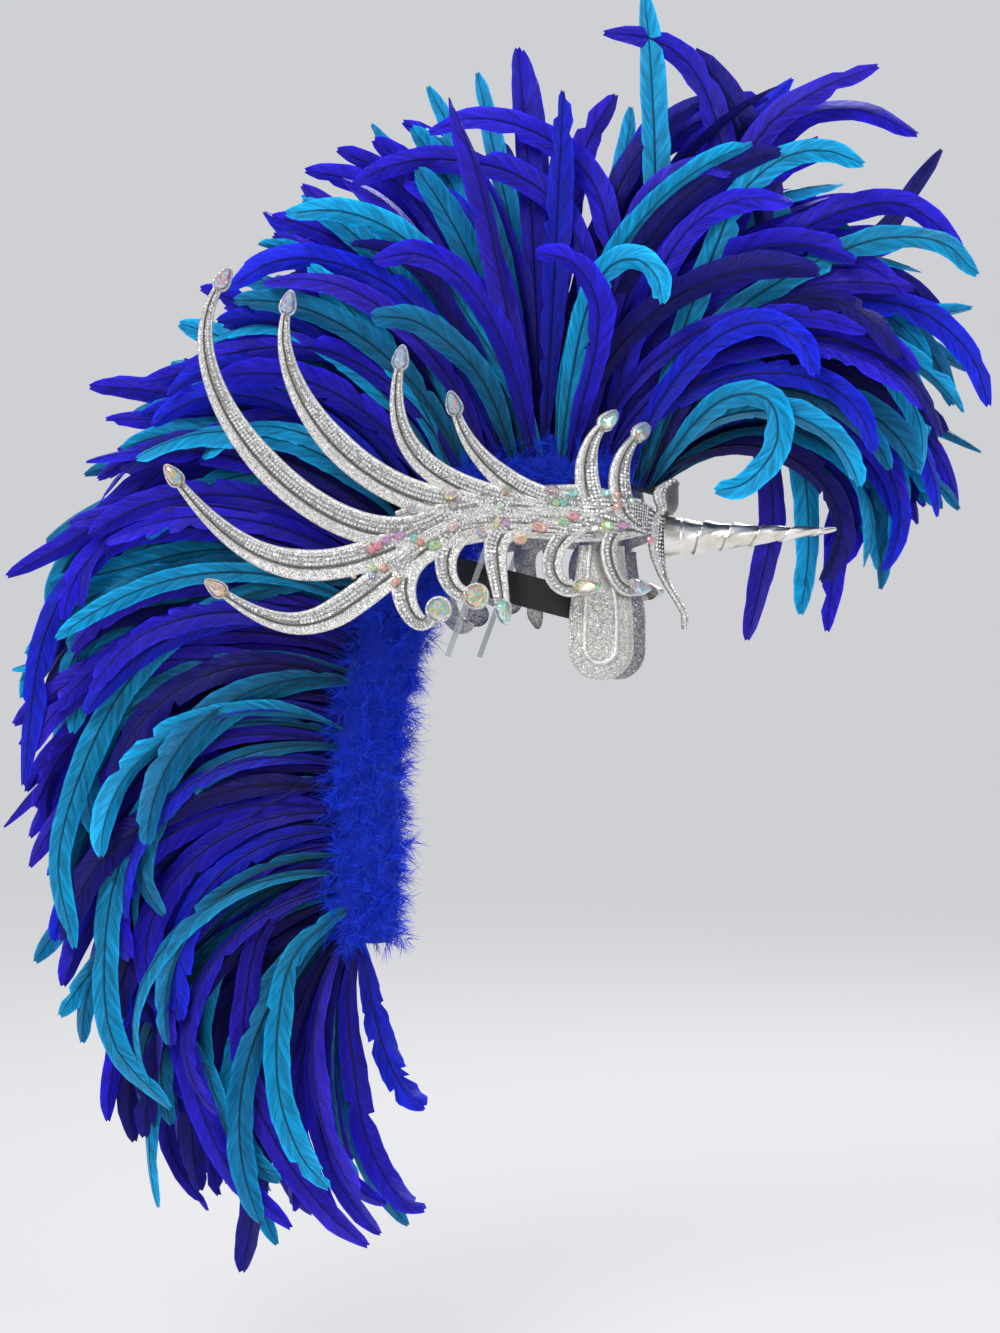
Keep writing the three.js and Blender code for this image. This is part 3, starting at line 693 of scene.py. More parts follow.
@dataclass(frozen=True)
class FoilFinish:
    """Crinkled pale silver foil with a painted warm reflection in its folds."""

    name: str = "wrinkled_foil"
    folds: float = 110.0
    depth: float = 0.0022
    warm_reflection: tuple[float, float, float] = (0.74, 0.69, 0.60)
    silver: tuple[float, float, float] = (0.93, 0.91, 0.88)

    def make(self) -> Material:
        """Builds the material.

        Returns:
            The material.
        """
        shader = Shader(self.name)
        folds = shader.noise(shader.vector("MULTIPLY", shader.spot(), (0.45, 1.0, 1.0)), self.folds, 3.0)
        ridges = shader.math("ABSOLUTE", shader.math("SUBTRACT", folds, 0.5))
        shader.set(
            # The folds mix silver with a painted warm reflection.
            Base_Color=shader.mix(shader.spread(folds, 0.35, 0.65, 0, 1), rgba(self.warm_reflection), rgba(self.silver)),
            Metallic=1.0,
            Roughness=shader.spread(folds, 0.3, 0.7, 0.24, 0.38),
            Normal=shader.bump(ridges, self.depth, 0.5),
        )
        return shader.material


@dataclass(frozen=True)
class PlainFinish:
    """One even colour."""

    name: str
    colour: tuple[float, float, float]
    rough: float

    def make(self) -> Material:
        """Builds the material.

        Returns:
            The material.
        """
        shader = Shader(self.name)
        shader.set(Base_Color=rgba(self.colour), Roughness=self.rough)
        return shader.material


@dataclass(frozen=True)
class RibbonFinish:
    """Black ribbed elastic, whose ribs run along the band, with painted shade in the grooves between them."""

    name: str = "black_band"
    rib: float = 0.0016
    depth: float = 0.0004
    # Painted shade in the grooves and painted light on the ridges of the same black elastic.
    groove: tuple[float, float, float] = (0.004, 0.004, 0.005)
    ridge: tuple[float, float, float] = (0.020, 0.020, 0.023)

    def make(self) -> Material:
        """Builds the material.

        Returns:
            The material.
        """
        shader = Shader(self.name)
        along, up = shader.place()
        turns = 2 * math.pi / self.rib
        ribs = shader.math("SINE", shader.math("MULTIPLY", up, turns))
        weave = shader.math("MULTIPLY", ribs, shader.math("SINE", shader.math("MULTIPLY", along, turns)))
        shader.set(
            Base_Color=shader.mix(shader.spread(ribs, -1, 1, 0, 1), rgba(self.groove), rgba(self.ridge)),
            Roughness=0.85,
            Sheen_Weight=0.15,
            Normal=shader.bump(shader.math("ADD", ribs, weave), self.depth),
        )
        return shader.material


@dataclass(frozen=True)
class ClearFinish:
    """Clear plastic strip."""

    name: str = "clear_strip"
    colour: tuple[float, float, float] = (0.92, 0.95, 0.97)

    def make(self) -> Material:
        """Builds the material.

        Returns:
            The material.
        """
        shader = Shader(self.name)
        shader.set(
            Base_Color=rgba(self.colour), Roughness=0.06, Transmission_Weight=0.85, IOR=1.45, Coat_Weight=0.4
        )
        return shader.material


@dataclass(frozen=True)
class Palette:
    """Finishes that several pieces share."""

    glitter: Material
    crystal: Material
    aurora: Material
    foil: Material
    band: Material
    clear: Material
    hidden: Material

    @classmethod
    def mixed(cls) -> "Palette":
        """Makes the finishes once.

        Returns:
            The palette.
        """
        return cls(
            glitter=GlitterFinish().make(),
            crystal=StoneFinish("clear_crystal", 0.35).make(),
            aurora=StoneFinish("rainbow_crystal", 0.6, 0.12, 0.3).make(),
            foil=FoilFinish().make(),
            band=RibbonFinish().make(),
            clear=ClearFinish().make(),
            hidden=PlainFinish("frame_plastic", (0.012, 0.012, 0.016), 0.6).make(),
        )


@dataclass(frozen=True)
class Spine:
    """Hidden rib that carries the boa and the crest, as a line in the middle plane.

    Attributes:
        back: Its rearmost place.
        low: Its lowest place.
        reach: How far forward it goes from there.
        drop: How far up it goes from there.
        shares: Its knots, front first, as shares of reach and drop.
    """

    back: float = -0.192
    low: float = -0.310
    reach: float = 0.270
    drop: float = 0.418
    shares: tuple[tuple[float, float], ...] = (
        (1.0, 0.964), (0.823, 0.995), (0.628, 1.0), (0.466, 0.978), (0.336, 0.935), (0.238, 0.861),
        (0.166, 0.773), (0.108, 0.677), (0.061, 0.569), (0.025, 0.462), (0.02, 0.376), (0.02, 0.182),
        (0.0, 0.0),
    )

    def line(self, count: int = 401) -> Array:
        """The rib's middle line, front first, evenly spaced."""
        knots = [(self.back + x * self.reach, 0.0, self.low + z * self.drop) for x, z in self.shares]
        return through(knots, count)

    def at(self, share: Array) -> tuple[Array, Array, Array]:
        """Places along the rib.

        Args:
            share: Shares of its length.

        Returns:
            The points, the directions along it and those out of it.
        """
        line = self.line()
        ahead = tangents(line)
        ruler = np.linspace(0, 1, len(line))
        point = np.stack([np.interp(share, ruler, line[:, k]) for k in range(3)], -1)
        along = unit(np.stack([np.interp(share, ruler, ahead[:, k]) for k in range(3)], -1))
        out = np.stack([along[..., 2], np.zeros_like(along[..., 0]), -along[..., 0]], -1)
        return point, along, out


@dataclass(frozen=True)
class Layer:
    """A layer of the crest.

    Attributes:
        aside: Its distance from the middle plane.
        lean: How far its feathers lean outwards, for each unit that they grow.
        length: Share of the longest length.
        count: Number of feathers.
    """

    aside: float
    lean: float
    length: float
    count: int


@dataclass(frozen=True)
class Lead:
    """One listed feather, given by points forward and up that its shaft passes, in millimetres."""

    dye: Dye
    points: tuple[tuple[float, float], ...]
    aside: float = -0.022
    lean: float = -0.065
    half: float = 0.0125
    roll: float = 8.0


LEADS = (
    Lead(Dye.TURQUOISE, ((62, 98), (74, 236), (80, 369), (76, 476), (71, 527)), lean=-0.03),
    Lead(Dye.ROYAL, ((60, 100), (121, 236), (140, 351), (134, 413), (112, 462), (76, 487), (37, 492)),
         lean=-0.03),
    Lead(Dye.NAVY, ((62, 98), (156, 262), (174, 351), (152, 422), (115, 478)), lean=-0.01, half=0.0155),
    Lead(Dye.VIOLET, ((64, 98), (98, 209), (121, 298), (152, 365), (183, 409), (228, 436), (273, 451)),
         lean=-0.05),
    Lead(Dye.ROYAL, ((66, 97), (105, 200), (135, 290), (165, 365), (201, 413), (255, 422), (307, 398)),
         lean=-0.02),
    Lead(Dye.NAVY, ((66, 97), (138, 236), (210, 280), (273, 316), (300, 351), (329, 391)),
         lean=0.02, half=0.009),
    Lead(Dye.TURQUOISE, ((64, 97), (100, 215), (130, 289), (156, 342), (192, 371), (228, 376), (261, 362)),
         lean=-0.08),
    Lead(Dye.TURQUOISE, ((68, 96), (121, 216), (192, 271), (246, 294), (282, 302), (327, 296), (356, 267)),
         lean=-0.08),
    Lead(Dye.COBALT, ((70, 95), (156, 227), (228, 254), (291, 249), (327, 231), (354, 200), (367, 160)),
         lean=-0.05),
    Lead(Dye.ROYAL, ((66, 97), (166, 280), (210, 316), (255, 333), (300, 332), (343, 296)), lean=-0.05),
    Lead(Dye.ROYAL, ((70, 95), (121, 209), (192, 218), (228, 156), (237, 67), (228, -30)),
         aside=0.022, lean=0.04),
    Lead(Dye.TURQUOISE, ((72, 94), (125, 180), (175, 190), (205, 130), (212, 50), (205, -15)),
         aside=0.024, lean=0.03),
    Lead(Dye.TURQUOISE, ((72, 94), (115, 150), (150, 172), (182, 165), (188, 128), (165, 95), (138, 86)),
         lean=-0.09),
    Lead(Dye.VIOLET, ((74, 93), (120, 170), (165, 150), (180, 80), (170, 20), (156, -38)),
         aside=0.022, lean=0.05),
    Lead(Dye.ROYAL, ((30, 104), (49, 236), (40, 316), (22, 369), (-23, 405), (-77, 418), (-115, 405)),
         lean=-0.05),
    Lead(Dye.ROYAL, ((22, 105), (22, 262), (4, 329), (-41, 369), (-104, 382), (-149, 376), (-180, 360)),
         lean=-0.06),
    Lead(Dye.TURQUOISE,
         ((-18, 106), (-41, 174), (-77, 236), (-113, 289), (-149, 320), (-193, 335), (-236, 332)),
         lean=-0.08),
    Lead(Dye.COBALT,
         ((-50, 102), (-68, 147), (-104, 218), (-149, 271), (-211, 296), (-256, 294), (-292, 271)),
         lean=-0.06),
    Lead(Dye.ROYAL, ((-84, 90), (-113, 138), (-149, 183), (-211, 218), (-283, 218), (-328, 200), (-373, 187)),
         lean=-0.06),
    Lead(Dye.ROYAL, ((-106, 76), (-140, 138), (-211, 165), (-301, 147), (-373, 103), (-427, 58), (-498, 18)),
         lean=-0.05),
    Lead(Dye.COBALT,
         ((-122, 57), (-166, 112), (-256, 129), (-355, 94), (-427, 32), (-467, -39), (-481, -168)),
         lean=-0.06),
    Lead(Dye.TURQUOISE,
         ((-150, 5), (-211, 14), (-301, -4), (-373, -57), (-418, -128), (-446, -230), (-428, -310)),
         lean=-0.08),
    Lead(Dye.TURQUOISE,
         ((-165, -75), (-256, -84), (-328, -128), (-382, -208), (-404, -288), (-395, -390), (-339, -448)),
         lean=-0.09),
    Lead(Dye.ROYAL,
         ((-172, -146), (-274, -190), (-328, -252), (-350, -324), (-340, -404), (-300, -500), (-238, -556)),
         lean=-0.06),
    Lead(Dye.VIOLET,
         ((-174, -226), (-265, -288), (-287, -359), (-283, -430), (-252, -492), (-207, -546), (-171, -572)),
         lean=-0.05),
    Lead(Dye.TURQUOISE, ((-174, -262), (-238, -315), (-252, -377), (-247, -439), (-225, -488), (-198, -514)),
         lean=-0.09),
    Lead(Dye.ROYAL, ((-188, -300), (-196, -359), (-189, -421), (-175, -483), (-148, -528), (-122, -541)),
         lean=-0.04),
    Lead(Dye.COBALT, ((-188, -298), (-178, -341), (-162, -395), (-140, -435), (-120, -448)), lean=-0.05),
    Lead(Dye.TURQUOISE, ((-8, 105), (6, 183), (22, 245), (42, 280), (67, 287), (86, 271), (92, 247)),
         lean=-0.09),
    Lead(Dye.ROYAL, ((28, 103), (53, 200), (76, 262), (112, 316), (156, 338), (201, 333)), lean=-0.07),
    Lead(Dye.ROYAL, ((-26, 106), (-41, 183), (-59, 236), (-86, 276), (-122, 296), (-158, 290)), lean=-0.08),
    Lead(Dye.TEAL, ((-42, 103), (-63, 174), (-86, 209), (-122, 236), (-158, 240)), lean=-0.09),
    Lead(Dye.VIOLET, ((10, 105), (31, 209), (49, 289), (80, 347), (121, 369), (147, 360)), lean=-0.06),
    Lead(Dye.NAVY, ((68, 96), (121, 200), (165, 236), (219, 254), (264, 236), (291, 200)), lean=-0.07),
    Lead(Dye.ROYAL, ((0, 105), (14, 160), (30, 210), (34, 250), (16, 282), (-14, 290)), lean=-0.1),
    Lead(Dye.COBALT, ((46, 100), (84, 168), (126, 214), (170, 232), (206, 216), (222, 184)), lean=-0.09),
)


@dataclass(frozen=True)
class Feather:
    """One feather: its share of the spine, its shaft from root to tip and how its blade turns, in degrees."""

    share: float
    shaft: Array
    half: float
    roll: float
    twist: float
    dye: Dye


@dataclass
class Plumage:
    """Feathers of one stretch and one family of dyes, each with its own shade.

    Attributes:
        feathers: The feathers.
        shades: Their colours.
        vane: Places across a blade, as shares of its half-width.
        profile: Half-width along the shaft, as a share of the widest.
        tone: Brightness along the shaft, which is painted shade: dark at the root, where the feathers crowd,
            brightening towards the tip.
        quill: Half-thickness of the shaft along it.
        waves: How many waves an edge has, for each of the sets that add up.
    """

    feathers: list[Feather] = field(default_factory=list)
    shades: list[Array] = field(default_factory=list)
    vane: tuple[float, ...] = (-1, -0.68, -0.34, 0, 0.34, 0.68, 1)
    profile: tuple[tuple[float, float], ...] = (
        (0, 0.1), (0.06, 0.3), (0.2, 0.66), (0.4, 0.92), (0.62, 1), (0.8, 0.94), (0.9, 0.78), (0.96, 0.54),
        (1, 0.16),
    )
    tone: tuple[tuple[float, float], ...] = ((0, 0.35), (0.3, 0.7), (0.75, 1.0), (1, 1.2))
    quill: tuple[tuple[float, float], ...] = ((0, 0.0012), (0.5, 0.0008), (1, 0.00025))
    waves: tuple[int, ...] = (3, 7, 13)

    def edges(self, share: Array, rng: Random) -> Array:
        """How far each feather's two edges reach, with waves and a few torn barbs.

        Args:
            share: Shares of the shaft.
            rng: Source of the differences.

        Returns:
            Factors near 1, for each feather, share and edge.
        """
        number = len(self.feathers)
        reach = np.ones((number, len(share), 2))
        for count in self.waves:
            phase = rng.uniform(0, 2 * np.pi, (number, 1, 2))
            reach += 0.03 * np.sin(share[None, :, None] * count * 2 * np.pi + phase)
        torn = rng.uniform(size=(number, 1, 1)) ** 3 * 0.14 + 0.008
        cut = (rng.uniform(size=reach.shape) < torn) & (share[None, :, None] > 0.12)
        return reach * np.where(cut, rng.uniform(0.45, 0.85, reach.shape), 1.0)

    def blades(self, surface: Surface, rng: Random) -> None:
        """Builds every feather's two vanes and its shaft.

        Args:
            surface: What the faces are added to.
            rng: Source of the small differences between feathers.
        """
        line = np.array([feather.shaft for feather in self.feathers])
        number = len(line)
        share = np.linspace(0, 1, line.shape[1])
        ahead = unit(np.gradient(line, axis=1))
        rolls = np.array([feather.roll for feather in self.feathers])
        twists = np.array([feather.twist for feather in self.feathers])
        turn = np.radians(rolls[:, None] + twists[:, None] * share)[..., None]
        across = unit(np.cross(ahead, np.array([0.0, -1.0, 0.0])))
        up = np.cross(across, ahead)
        blade = across * np.cos(turn) + up * np.sin(turn)
        face = np.cross(blade, ahead)
        vane = np.array(self.vane)
        widest = np.array([feather.half for feather in self.feathers])
        half = widest[:, None] * table_at(self.profile, share)[:, 0]
        edges = self.edges(share, rng)
        reach = np.where(vane[None, None] < 0, edges[..., :1], edges[..., 1:])
        inside = np.minimum(1, reach / np.maximum(np.abs(vane), 0.34))
        off = vane * half[..., None] * np.where(np.abs(vane) > 0.9, reach, inside)
        ripples = rng.uniform(9, 22, (number, 1, 1))
        ruffle = 0.16 * np.sin(share[None, :, None] * ripples + rng.uniform(0, 6, (number, 1, 1)))
        droop = off**2 / np.maximum(half[..., None], 1e-4) * 0.12
        sag = -np.abs(off) * (0.32 + ruffle * np.sign(vane)) - droop
        swept = np.abs(off) * 0.95
        points = (
            line[:, :, None]
            + blade[:, :, None] * off[..., None]
            + ahead[:, :, None] * swept[..., None]
            + face[:, :, None] * sag[..., None]
        )
        shades = np.array(self.shades)[:, None, None]
        # Painted shade along each feather: darkest at the root, where the feathers crowd, and brightest at
        # the tip.
        tints = np.broadcast_to(shades * table_at(self.tone, share)[None, :, None], points.shape)
        length = np.linalg.norm(np.diff(line, axis=1), axis=-1).sum(1)
        along = share * (length / 0.01)[:, None] + rng.uniform(0, 400, (number, 1))
        surface.grid(points, tints, np.stack(np.broadcast_arrays(along[..., None], vane), -1))
        thick = table_at(self.quill, share[::2])[None, :, None]
        spin = np.radians([0, 90, 180, 270])[None, None, :, None]
        around = blade[:, ::2, None] * np.cos(spin) + face[:, ::2, None] * (np.sin(spin) + 0.2)
        ring = line[:, ::2, None] + thick * around
        dark = np.broadcast_to(shades * 0.16 + 0.002, ring.shape)
        spots = np.broadcast_to(np.array([0.0, 0.6]), (*ring.shape[:-1], 2))
        surface.grid(ring, dark, spots, closed=True)


@dataclass
class Crest:
    """Tall fan of long feathers that stands on the spine.

    Attributes:
        spine: The line that it stands on.
        longest: Length of a feather whose share is 1.
        crowd: How much closer the feathers stand at the front than at the tail.
        root: Height of a shaft's root over the spine.
        seed: Seed of the random draws.
        stretches: Name of each stretch and the share of the spine where it ends.
        flow: Rows of share of the spine, angle at the root, turn by the tip, both in degrees, and length.
        layers: The layers, from the middle outwards.
        leads: Feathers given one by one.
        lots: Dye lots with their shares of the feathers.
        horn_start: Place forward from which a feather droops beside the horn.
        horn_level: Height under which it does.
        horn_clear: How far beyond the middle plane such a feather is moved.
    """

    spine: Spine
    longest: float = 0.440
    crowd: float = 1.15
    root: float = 0.008
    seed: int = 31
    stretches: tuple[tuple[str, float], ...] = (
        ("front", 0.2155), ("top", 0.3698), ("back", 0.5895), ("lower", 0.8206), ("tail", 1.01),
    )
    flow: tuple[tuple[float, float, float, float], ...] = (
        (0.0, 50, -142, 0.66), (0.045, 55, -135, 0.82), (0.09, 68, -108, 0.94), (0.13, 77, -75, 0.93),
        (0.155, 83, -36, 0.88), (0.18, 91, 16, 0.84), (0.21, 96, 50, 0.79), (0.26, 102, 66, 0.74),
        (0.32, 112, 66, 0.69), (0.39, 126, 68, 0.74), (0.45, 138, 75, 0.83), (0.53, 148, 85, 0.84),
        (0.6, 155, 95, 0.83), (0.68, 160, 100, 0.84), (0.8, 168, 106, 0.8), (0.87, 176, 106, 0.8),
        (0.93, 190, 96, 0.84), (0.97, 218, 72, 0.77), (1.0, 262, 34, 0.6),
    )
    layers: tuple[Layer, ...] = (
        Layer(0.0, 0.0, 0.99, 66), Layer(-0.007, 0.05, 0.98, 60), Layer(0.007, 0.05, 0.98, 60),
        Layer(-0.013, 0.11, 0.95, 58), Layer(0.013, 0.11, 0.95, 58), Layer(-0.018, 0.17, 0.92, 50),
        Layer(0.018, 0.17, 0.92, 50), Layer(-0.022, 0.24, 0.86, 38), Layer(0.022, 0.24, 0.86, 38),
    )
    leads: tuple[Lead, ...] = LEADS
    lots: tuple[tuple[Dye, float], ...] = (
        (Dye.ROYAL, 0.33), (Dye.COBALT, 0.13), (Dye.VIOLET, 0.11), (Dye.NAVY, 0.1), (Dye.TURQUOISE, 0.2),
        (Dye.TEAL, 0.13),
    )
    horn_start: float = 0.09
    horn_level: float = 0.09
    horn_clear: float = 0.022

    def shaft(self, share: float, layer: Layer, rng: Random) -> Array:
        """One feather's shaft.

        Args:
            share: Its place along the spine.
            layer: The layer that it stands in.
            rng: Source of its small differences.

        Returns:
            Its points from root to tip.
        """
        leave, turn, length = table_at(self.flow, share)
        leave += rng.normal(0, 5)
        turn = turn * (1 + rng.normal(0, 0.12)) + rng.normal(0, 8)
        length *= self.longest * layer.length * rng.uniform(0.86, 1.05)
        point, _, out = self.spine.at(np.array(share))
        run = np.linspace(0, 1, SHAFT_POINTS)
        curl = rng.normal(0, 16) + 12 * np.sign(turn)
        angle = leave + turn * run**1.1 + curl * smoothstep(0.55, 1.0, run) ** 1.5
        flat = heading(angle)
        side = 1.0 if layer.aside > 0 or (layer.aside == 0 and rng.uniform() < 0.5) else -1.0
        lean = side * (layer.lean + rng.normal(0, 0.025)) + rng.normal(0, 0.03) * run
        steps = unit(np.stack([flat[:, 0], lean, flat[:, 1]], -1)) * (length / (SHAFT_POINTS - 1))
        start = point + out * self.root + np.array([0, layer.aside, 0])
        return start + np.vstack([np.zeros(3), np.cumsum(steps[:-1], axis=0)])

    def behind_horn(self, shaft: Array) -> Array:
        """Moves a feather that droops beside the horn to the horn's far side.

        Args:
            shaft: Its shaft.

        Returns:
            The shaft, moved if it droops there.
        """
        if ((shaft[:, 0] > self.horn_start) & (shaft[:, 2] < self.horn_level)).any():
            return np.stack([shaft[:, 0], np.abs(shaft[:, 1]) + self.horn_clear, shaft[:, 2]], -1)
        return shaft

    def drawn_dye(self, rng: Random) -> Dye:
        """A dye lot drawn for one feather."""
        shares = [share for _, share in self.lots]
        return self.lots[rng.choice(len(self.lots), p=shares)][0]

    def grown(self, rng: Random) -> Iterator[Feather]:
        """Feathers that grow at random in the layers.

        Args:
            rng: Source of their differences.

        Yields:
            One feather after another.
        """
        for layer in self.layers:
            for k in range(layer.count):
                share = float(((k + rng.uniform(0.1, 0.9)) / layer.count) ** self.crowd)
                shaft = self.behind_horn(self.shaft(share, layer, rng))
                half = rng.uniform(0.0095, 0.0145)
                roll = rng.normal(0, 22)
                twist = rng.normal(0, 26)
                yield Feather(share, shaft, half, roll, twist, self.drawn_dye(rng))

    def placed(self, rng: Random) -> Iterator[Feather]:
        """Feathers given one by one.

        Args:
            rng: Source of their twists.

        Yields:
            One feather after another.
        """
        spine = self.spine.line(101)
        for lead in self.leads:
            shaft = through([(x / PER_METRE, 0.0, z / PER_METRE) for x, z in lead.points], SHAFT_POINTS)
            shaft[:, 1] = lead.aside + lead.lean * np.linspace(0, 1, SHAFT_POINTS)
            nearest = np.argmin(np.linalg.norm(spine - shaft[0], axis=1))
            yield Feather(float(nearest / 100), shaft, lead.half, lead.roll, rng.normal(0, 12), lead.dye)

    def gather(self) -> dict[tuple[str, bool], Plumage]:
        """Makes every feather.

        Returns:
            The feathers by their stretch and by whether they are turquoise.
        """
        rng = np.random.default_rng(self.seed)
        sets = {(name, blue): Plumage() for name, _ in self.stretches for blue in (False, True)}
        for feather in chain(self.grown(rng), self.placed(rng)):
            name = next(name for name, end in self.stretches if feather.share < end)
            plumage = sets[name, feather.dye in (Dye.TURQUOISE, Dye.TEAL)]
            plumage.feathers.append(feather)
            plumage.shades.append(np.array(feather.dye.value) * rng.uniform(0.75, 1.2))
        return sets

    def build(self) -> None:
        """Makes the crest's pieces, two for each stretch of the spine."""
        finishes = {
            "royal": FeatherFinish("royal_feather", (0.55, 0.5, 1.0)).make(),
            "turquoise": FeatherFinish("turquoise_feather", (0.5, 0.9, 1.0)).make(),
        }
        for (name, blue), plumage in self.gather().items():
            surface = Surface()
            plumage.blades(surface, np.random.default_rng(len(plumage.feathers)))
            word = "turquoise" if blue else "royal"
            nodes = [f"crest_{row}_{name}" for row in ("right", "centre", "left")]
            show(surface, f"crest_{name}_{word}", finishes[word], f"feather_{word}", *nodes)


@dataclass
class Boa:
    """Fluffy marabou roll round the spine.

    Attributes:
        spine: The line that it follows.
        start: Share of the spine where it starts.
        stretches: Name of each stretch and the share of the spine where it ends.
        radius: Radius at which the plumes grow.
        core_share: The core's radius as a share of that.
        core_shade_colour: Colour of the core, dark blue as painted shade inside the fluff.
        plume: Length of a plume.
        barb: Length of a barb.
        plumes: Number of plumes on the whole spine.
        barbs: Number of barbs on a plume.
        fibre: Half-width of a barb at its root.
        colour: Colour of a bright barb.
    """

    spine: Spine
    start: float = 0.035
    stretches: tuple[tuple[str, float], ...] = (
        ("front", 0.2), ("top", 0.34), ("back", 0.5), ("lower", 0.74), ("tail", 1.0),
    )
    radius: float = 0.027
    radius: float = 0.027
    core_share: float = 1.15
    core_shade_colour: tuple[float, float, float] = (0.0, 0.014, 0.36)
    plume: float = 0.018
    barb: float = 0.0145
    plumes: int = 1900
    barbs: int = 34
    fibre: float = 0.00026
    colour: tuple[float, float, float] = (0.0, 0.050, 1.0)

    def core(self, surface: Surface, low: float, high: float) -> None:
        """The middle of the roll, coloured dark as painted shade inside the fluff.

        Args:
            surface: What the faces are added to.
            low: Share of the spine where the stretch starts.
            high: Share where it ends.
        """
        share = np.linspace(low, high, max(8, int((high - low) * 160)))
        point, _, out = self.spine.at(share)
        angle = np.linspace(0, 2 * np.pi, 24, endpoint=False)
        lumps = 1 + 0.10 * np.sin(angle * 5 + share[:, None] * 90) * np.sin(angle * 3 - share[:, None] * 130)
        radius = (self.radius * self.core_share * lumps)[..., None]
        sine, cosine = np.sin(angle)[None, :, None], np.cos(angle)[None, :, None]
        ring = point[:, None] + radius * (out[:, None] * sine + np.array([0.0, 1.0, 0.0]) * cosine)
        # Painted shade: the core and its lids are dark, standing for the shaded inside of the fluff.
        dark = np.array(self.core_shade_colour)
        surface.skin(ring, dark, lid=dark, counter=True)

    def fluff(self, surface: Surface, low: float, high: float, rng: Random) -> None:
        """Plumes of fine barbs that stand all round the roll.

        Args:
            surface: What the faces are added to.
            low: Share of the spine where the stretch starts.
            high: Share where it ends.
            rng: Source of their differences.
        """
        count = int(self.plumes * (high - low))
        share = rng.uniform(low, high, count)
        point, along, out = self.spine.at(share)
        angle = rng.uniform(0, 2 * np.pi, count)
        side = np.array([0.0, 1.0, 0.0])
        radial = out * np.sin(angle)[:, None] + side * np.cos(angle)[:, None]
        around = out * np.cos(angle)[:, None] - side * np.sin(angle)[:, None]
        root = point + radial * self.radius * rng.uniform(0.55, 1.0, (count, 1))
        swayed = radial + along * rng.normal(0, 0.55, (count, 1))
        stem = unit(swayed + around * rng.normal(0, 0.55, (count, 1)))
        bend = unit(along * rng.normal(0, 1, (count, 1)) + around * rng.normal(0, 1, (count, 1)))
        tuft = 1 + 0.28 * np.sin(share * 150 + 2.2 * np.sin(angle)) * np.cos(2 * angle + share * 60)
        reach = self.plume * rng.uniform(0.7, 1.15, (count, 1)) * tuft[:, None]
        spot = np.sort(rng.uniform(0.05, 1.0, (count, self.barbs)), axis=1)[..., None]
        straight = root[:, None] + stem[:, None] * reach[:, None] * spot
        base = straight + bend[:, None] * reach[:, None] * 0.35 * spot**2
        stem_here = unit(stem[:, None] + bend[:, None] * 0.7 * spot)
        flat = unit(np.cross(stem, rng.normal(size=(count, 3))))
        way = np.where(rng.uniform(size=(count, self.barbs, 1)) < 0.5, -1.0, 1.0)
        loose = rng.normal(0, 0.28, (count, self.barbs, 3))
        aim = unit(stem_here * (0.55 + 0.6 * spot) + flat[:, None] * way + loose)
        curl = unit(rng.normal(size=(count, self.barbs, 3)) + stem_here * 0.6 + np.array([0, 0, -0.35]))
        long = self.barb * rng.uniform(0.55, 1.1, (count, self.barbs, 1))
        edge = unit(np.cross(aim, rng.normal(size=aim.shape)))
        run = np.array([0, 0.35, 0.7, 1.0])[:, None]
        aimed = base[:, :, None] + aim[:, :, None] * long[:, :, None] * run
        fibre = aimed + curl[:, :, None] * long[:, :, None] * 0.45 * run**2
        wide = edge[:, :, None] * (self.fibre * np.array([1.0, 0.9, 0.6, 0.2])[:, None])
        ribbon = np.stack([fibre - wide, fibre + wide], -2)
        glow = rng.uniform(0.55, 1.25, (count, 1, 1)) * rng.uniform(0.75, 1.25, (count, self.barbs, 1))
        tone = np.array(self.colour) * np.minimum(glow, 1.0)
        # Painted shade along each barb: darker at its root near the core, brighter at its tip.
        tone = tone[:, :, None] * np.interp(run[:, 0], [0, 1], [0.6, 1.15])[:, None]
        surface.grid(ribbon, np.broadcast_to(tone[..., None, :], ribbon.shape))

    def build(self) -> None:
        """Makes the boa's pieces, one for each stretch."""
        finish = DownFinish().make()
        low = self.start
        for number, (name, high) in enumerate(self.stretches):
            surface = Surface()
            self.core(surface, low, high)
            self.fluff(surface, low, high, np.random.default_rng(50 + number))
            show(surface, f"marabou_{name}", finish, "marabou", f"boa_{name}")
            low = high


@dataclass(frozen=True)
class Shell:
    """The wall round the head that both side plates follow, unrolled into distance forward and height."""

    wide: float = 0.094
    back: float = 0.012
    flare: float = 0.045
    flare_run: float = 0.350
    skirt: float = 0.040
    skirt_lean: float = 0.24

    def place(self, flat: Array, off: Array | float, side: Side) -> Array:
        """Points on or off the wall.

        Args:
            flat: Pairs of distance forward and height.
            off: Distance outwards from the wall.
            side: The wearer's side.

        Returns:
            The points.
        """
        forward = flat[..., 0] + self.back
        angle = forward / self.wide
        slope = 2 * self.flare * forward / self.flare_run**2
        straight = forward < 0
        flared = self.wide + self.flare * (forward / self.flare_run) ** 2
        x = np.where(straight, forward, self.wide * np.sin(angle)) - self.back
        y = np.where(straight, flared, self.wide * np.cos(angle))
        normal_x = np.where(straight, -slope, np.sin(angle))
        normal_y = np.where(straight, 1.0, np.cos(angle))
        out = off + self.skirt_lean * np.maximum(0, self.skirt - flat[..., 1])
        return np.stack([x + normal_x * out, side.value * (y + normal_y * out), flat[..., 1]], -1)


PLATE_SIZE = (0.330, 0.265)


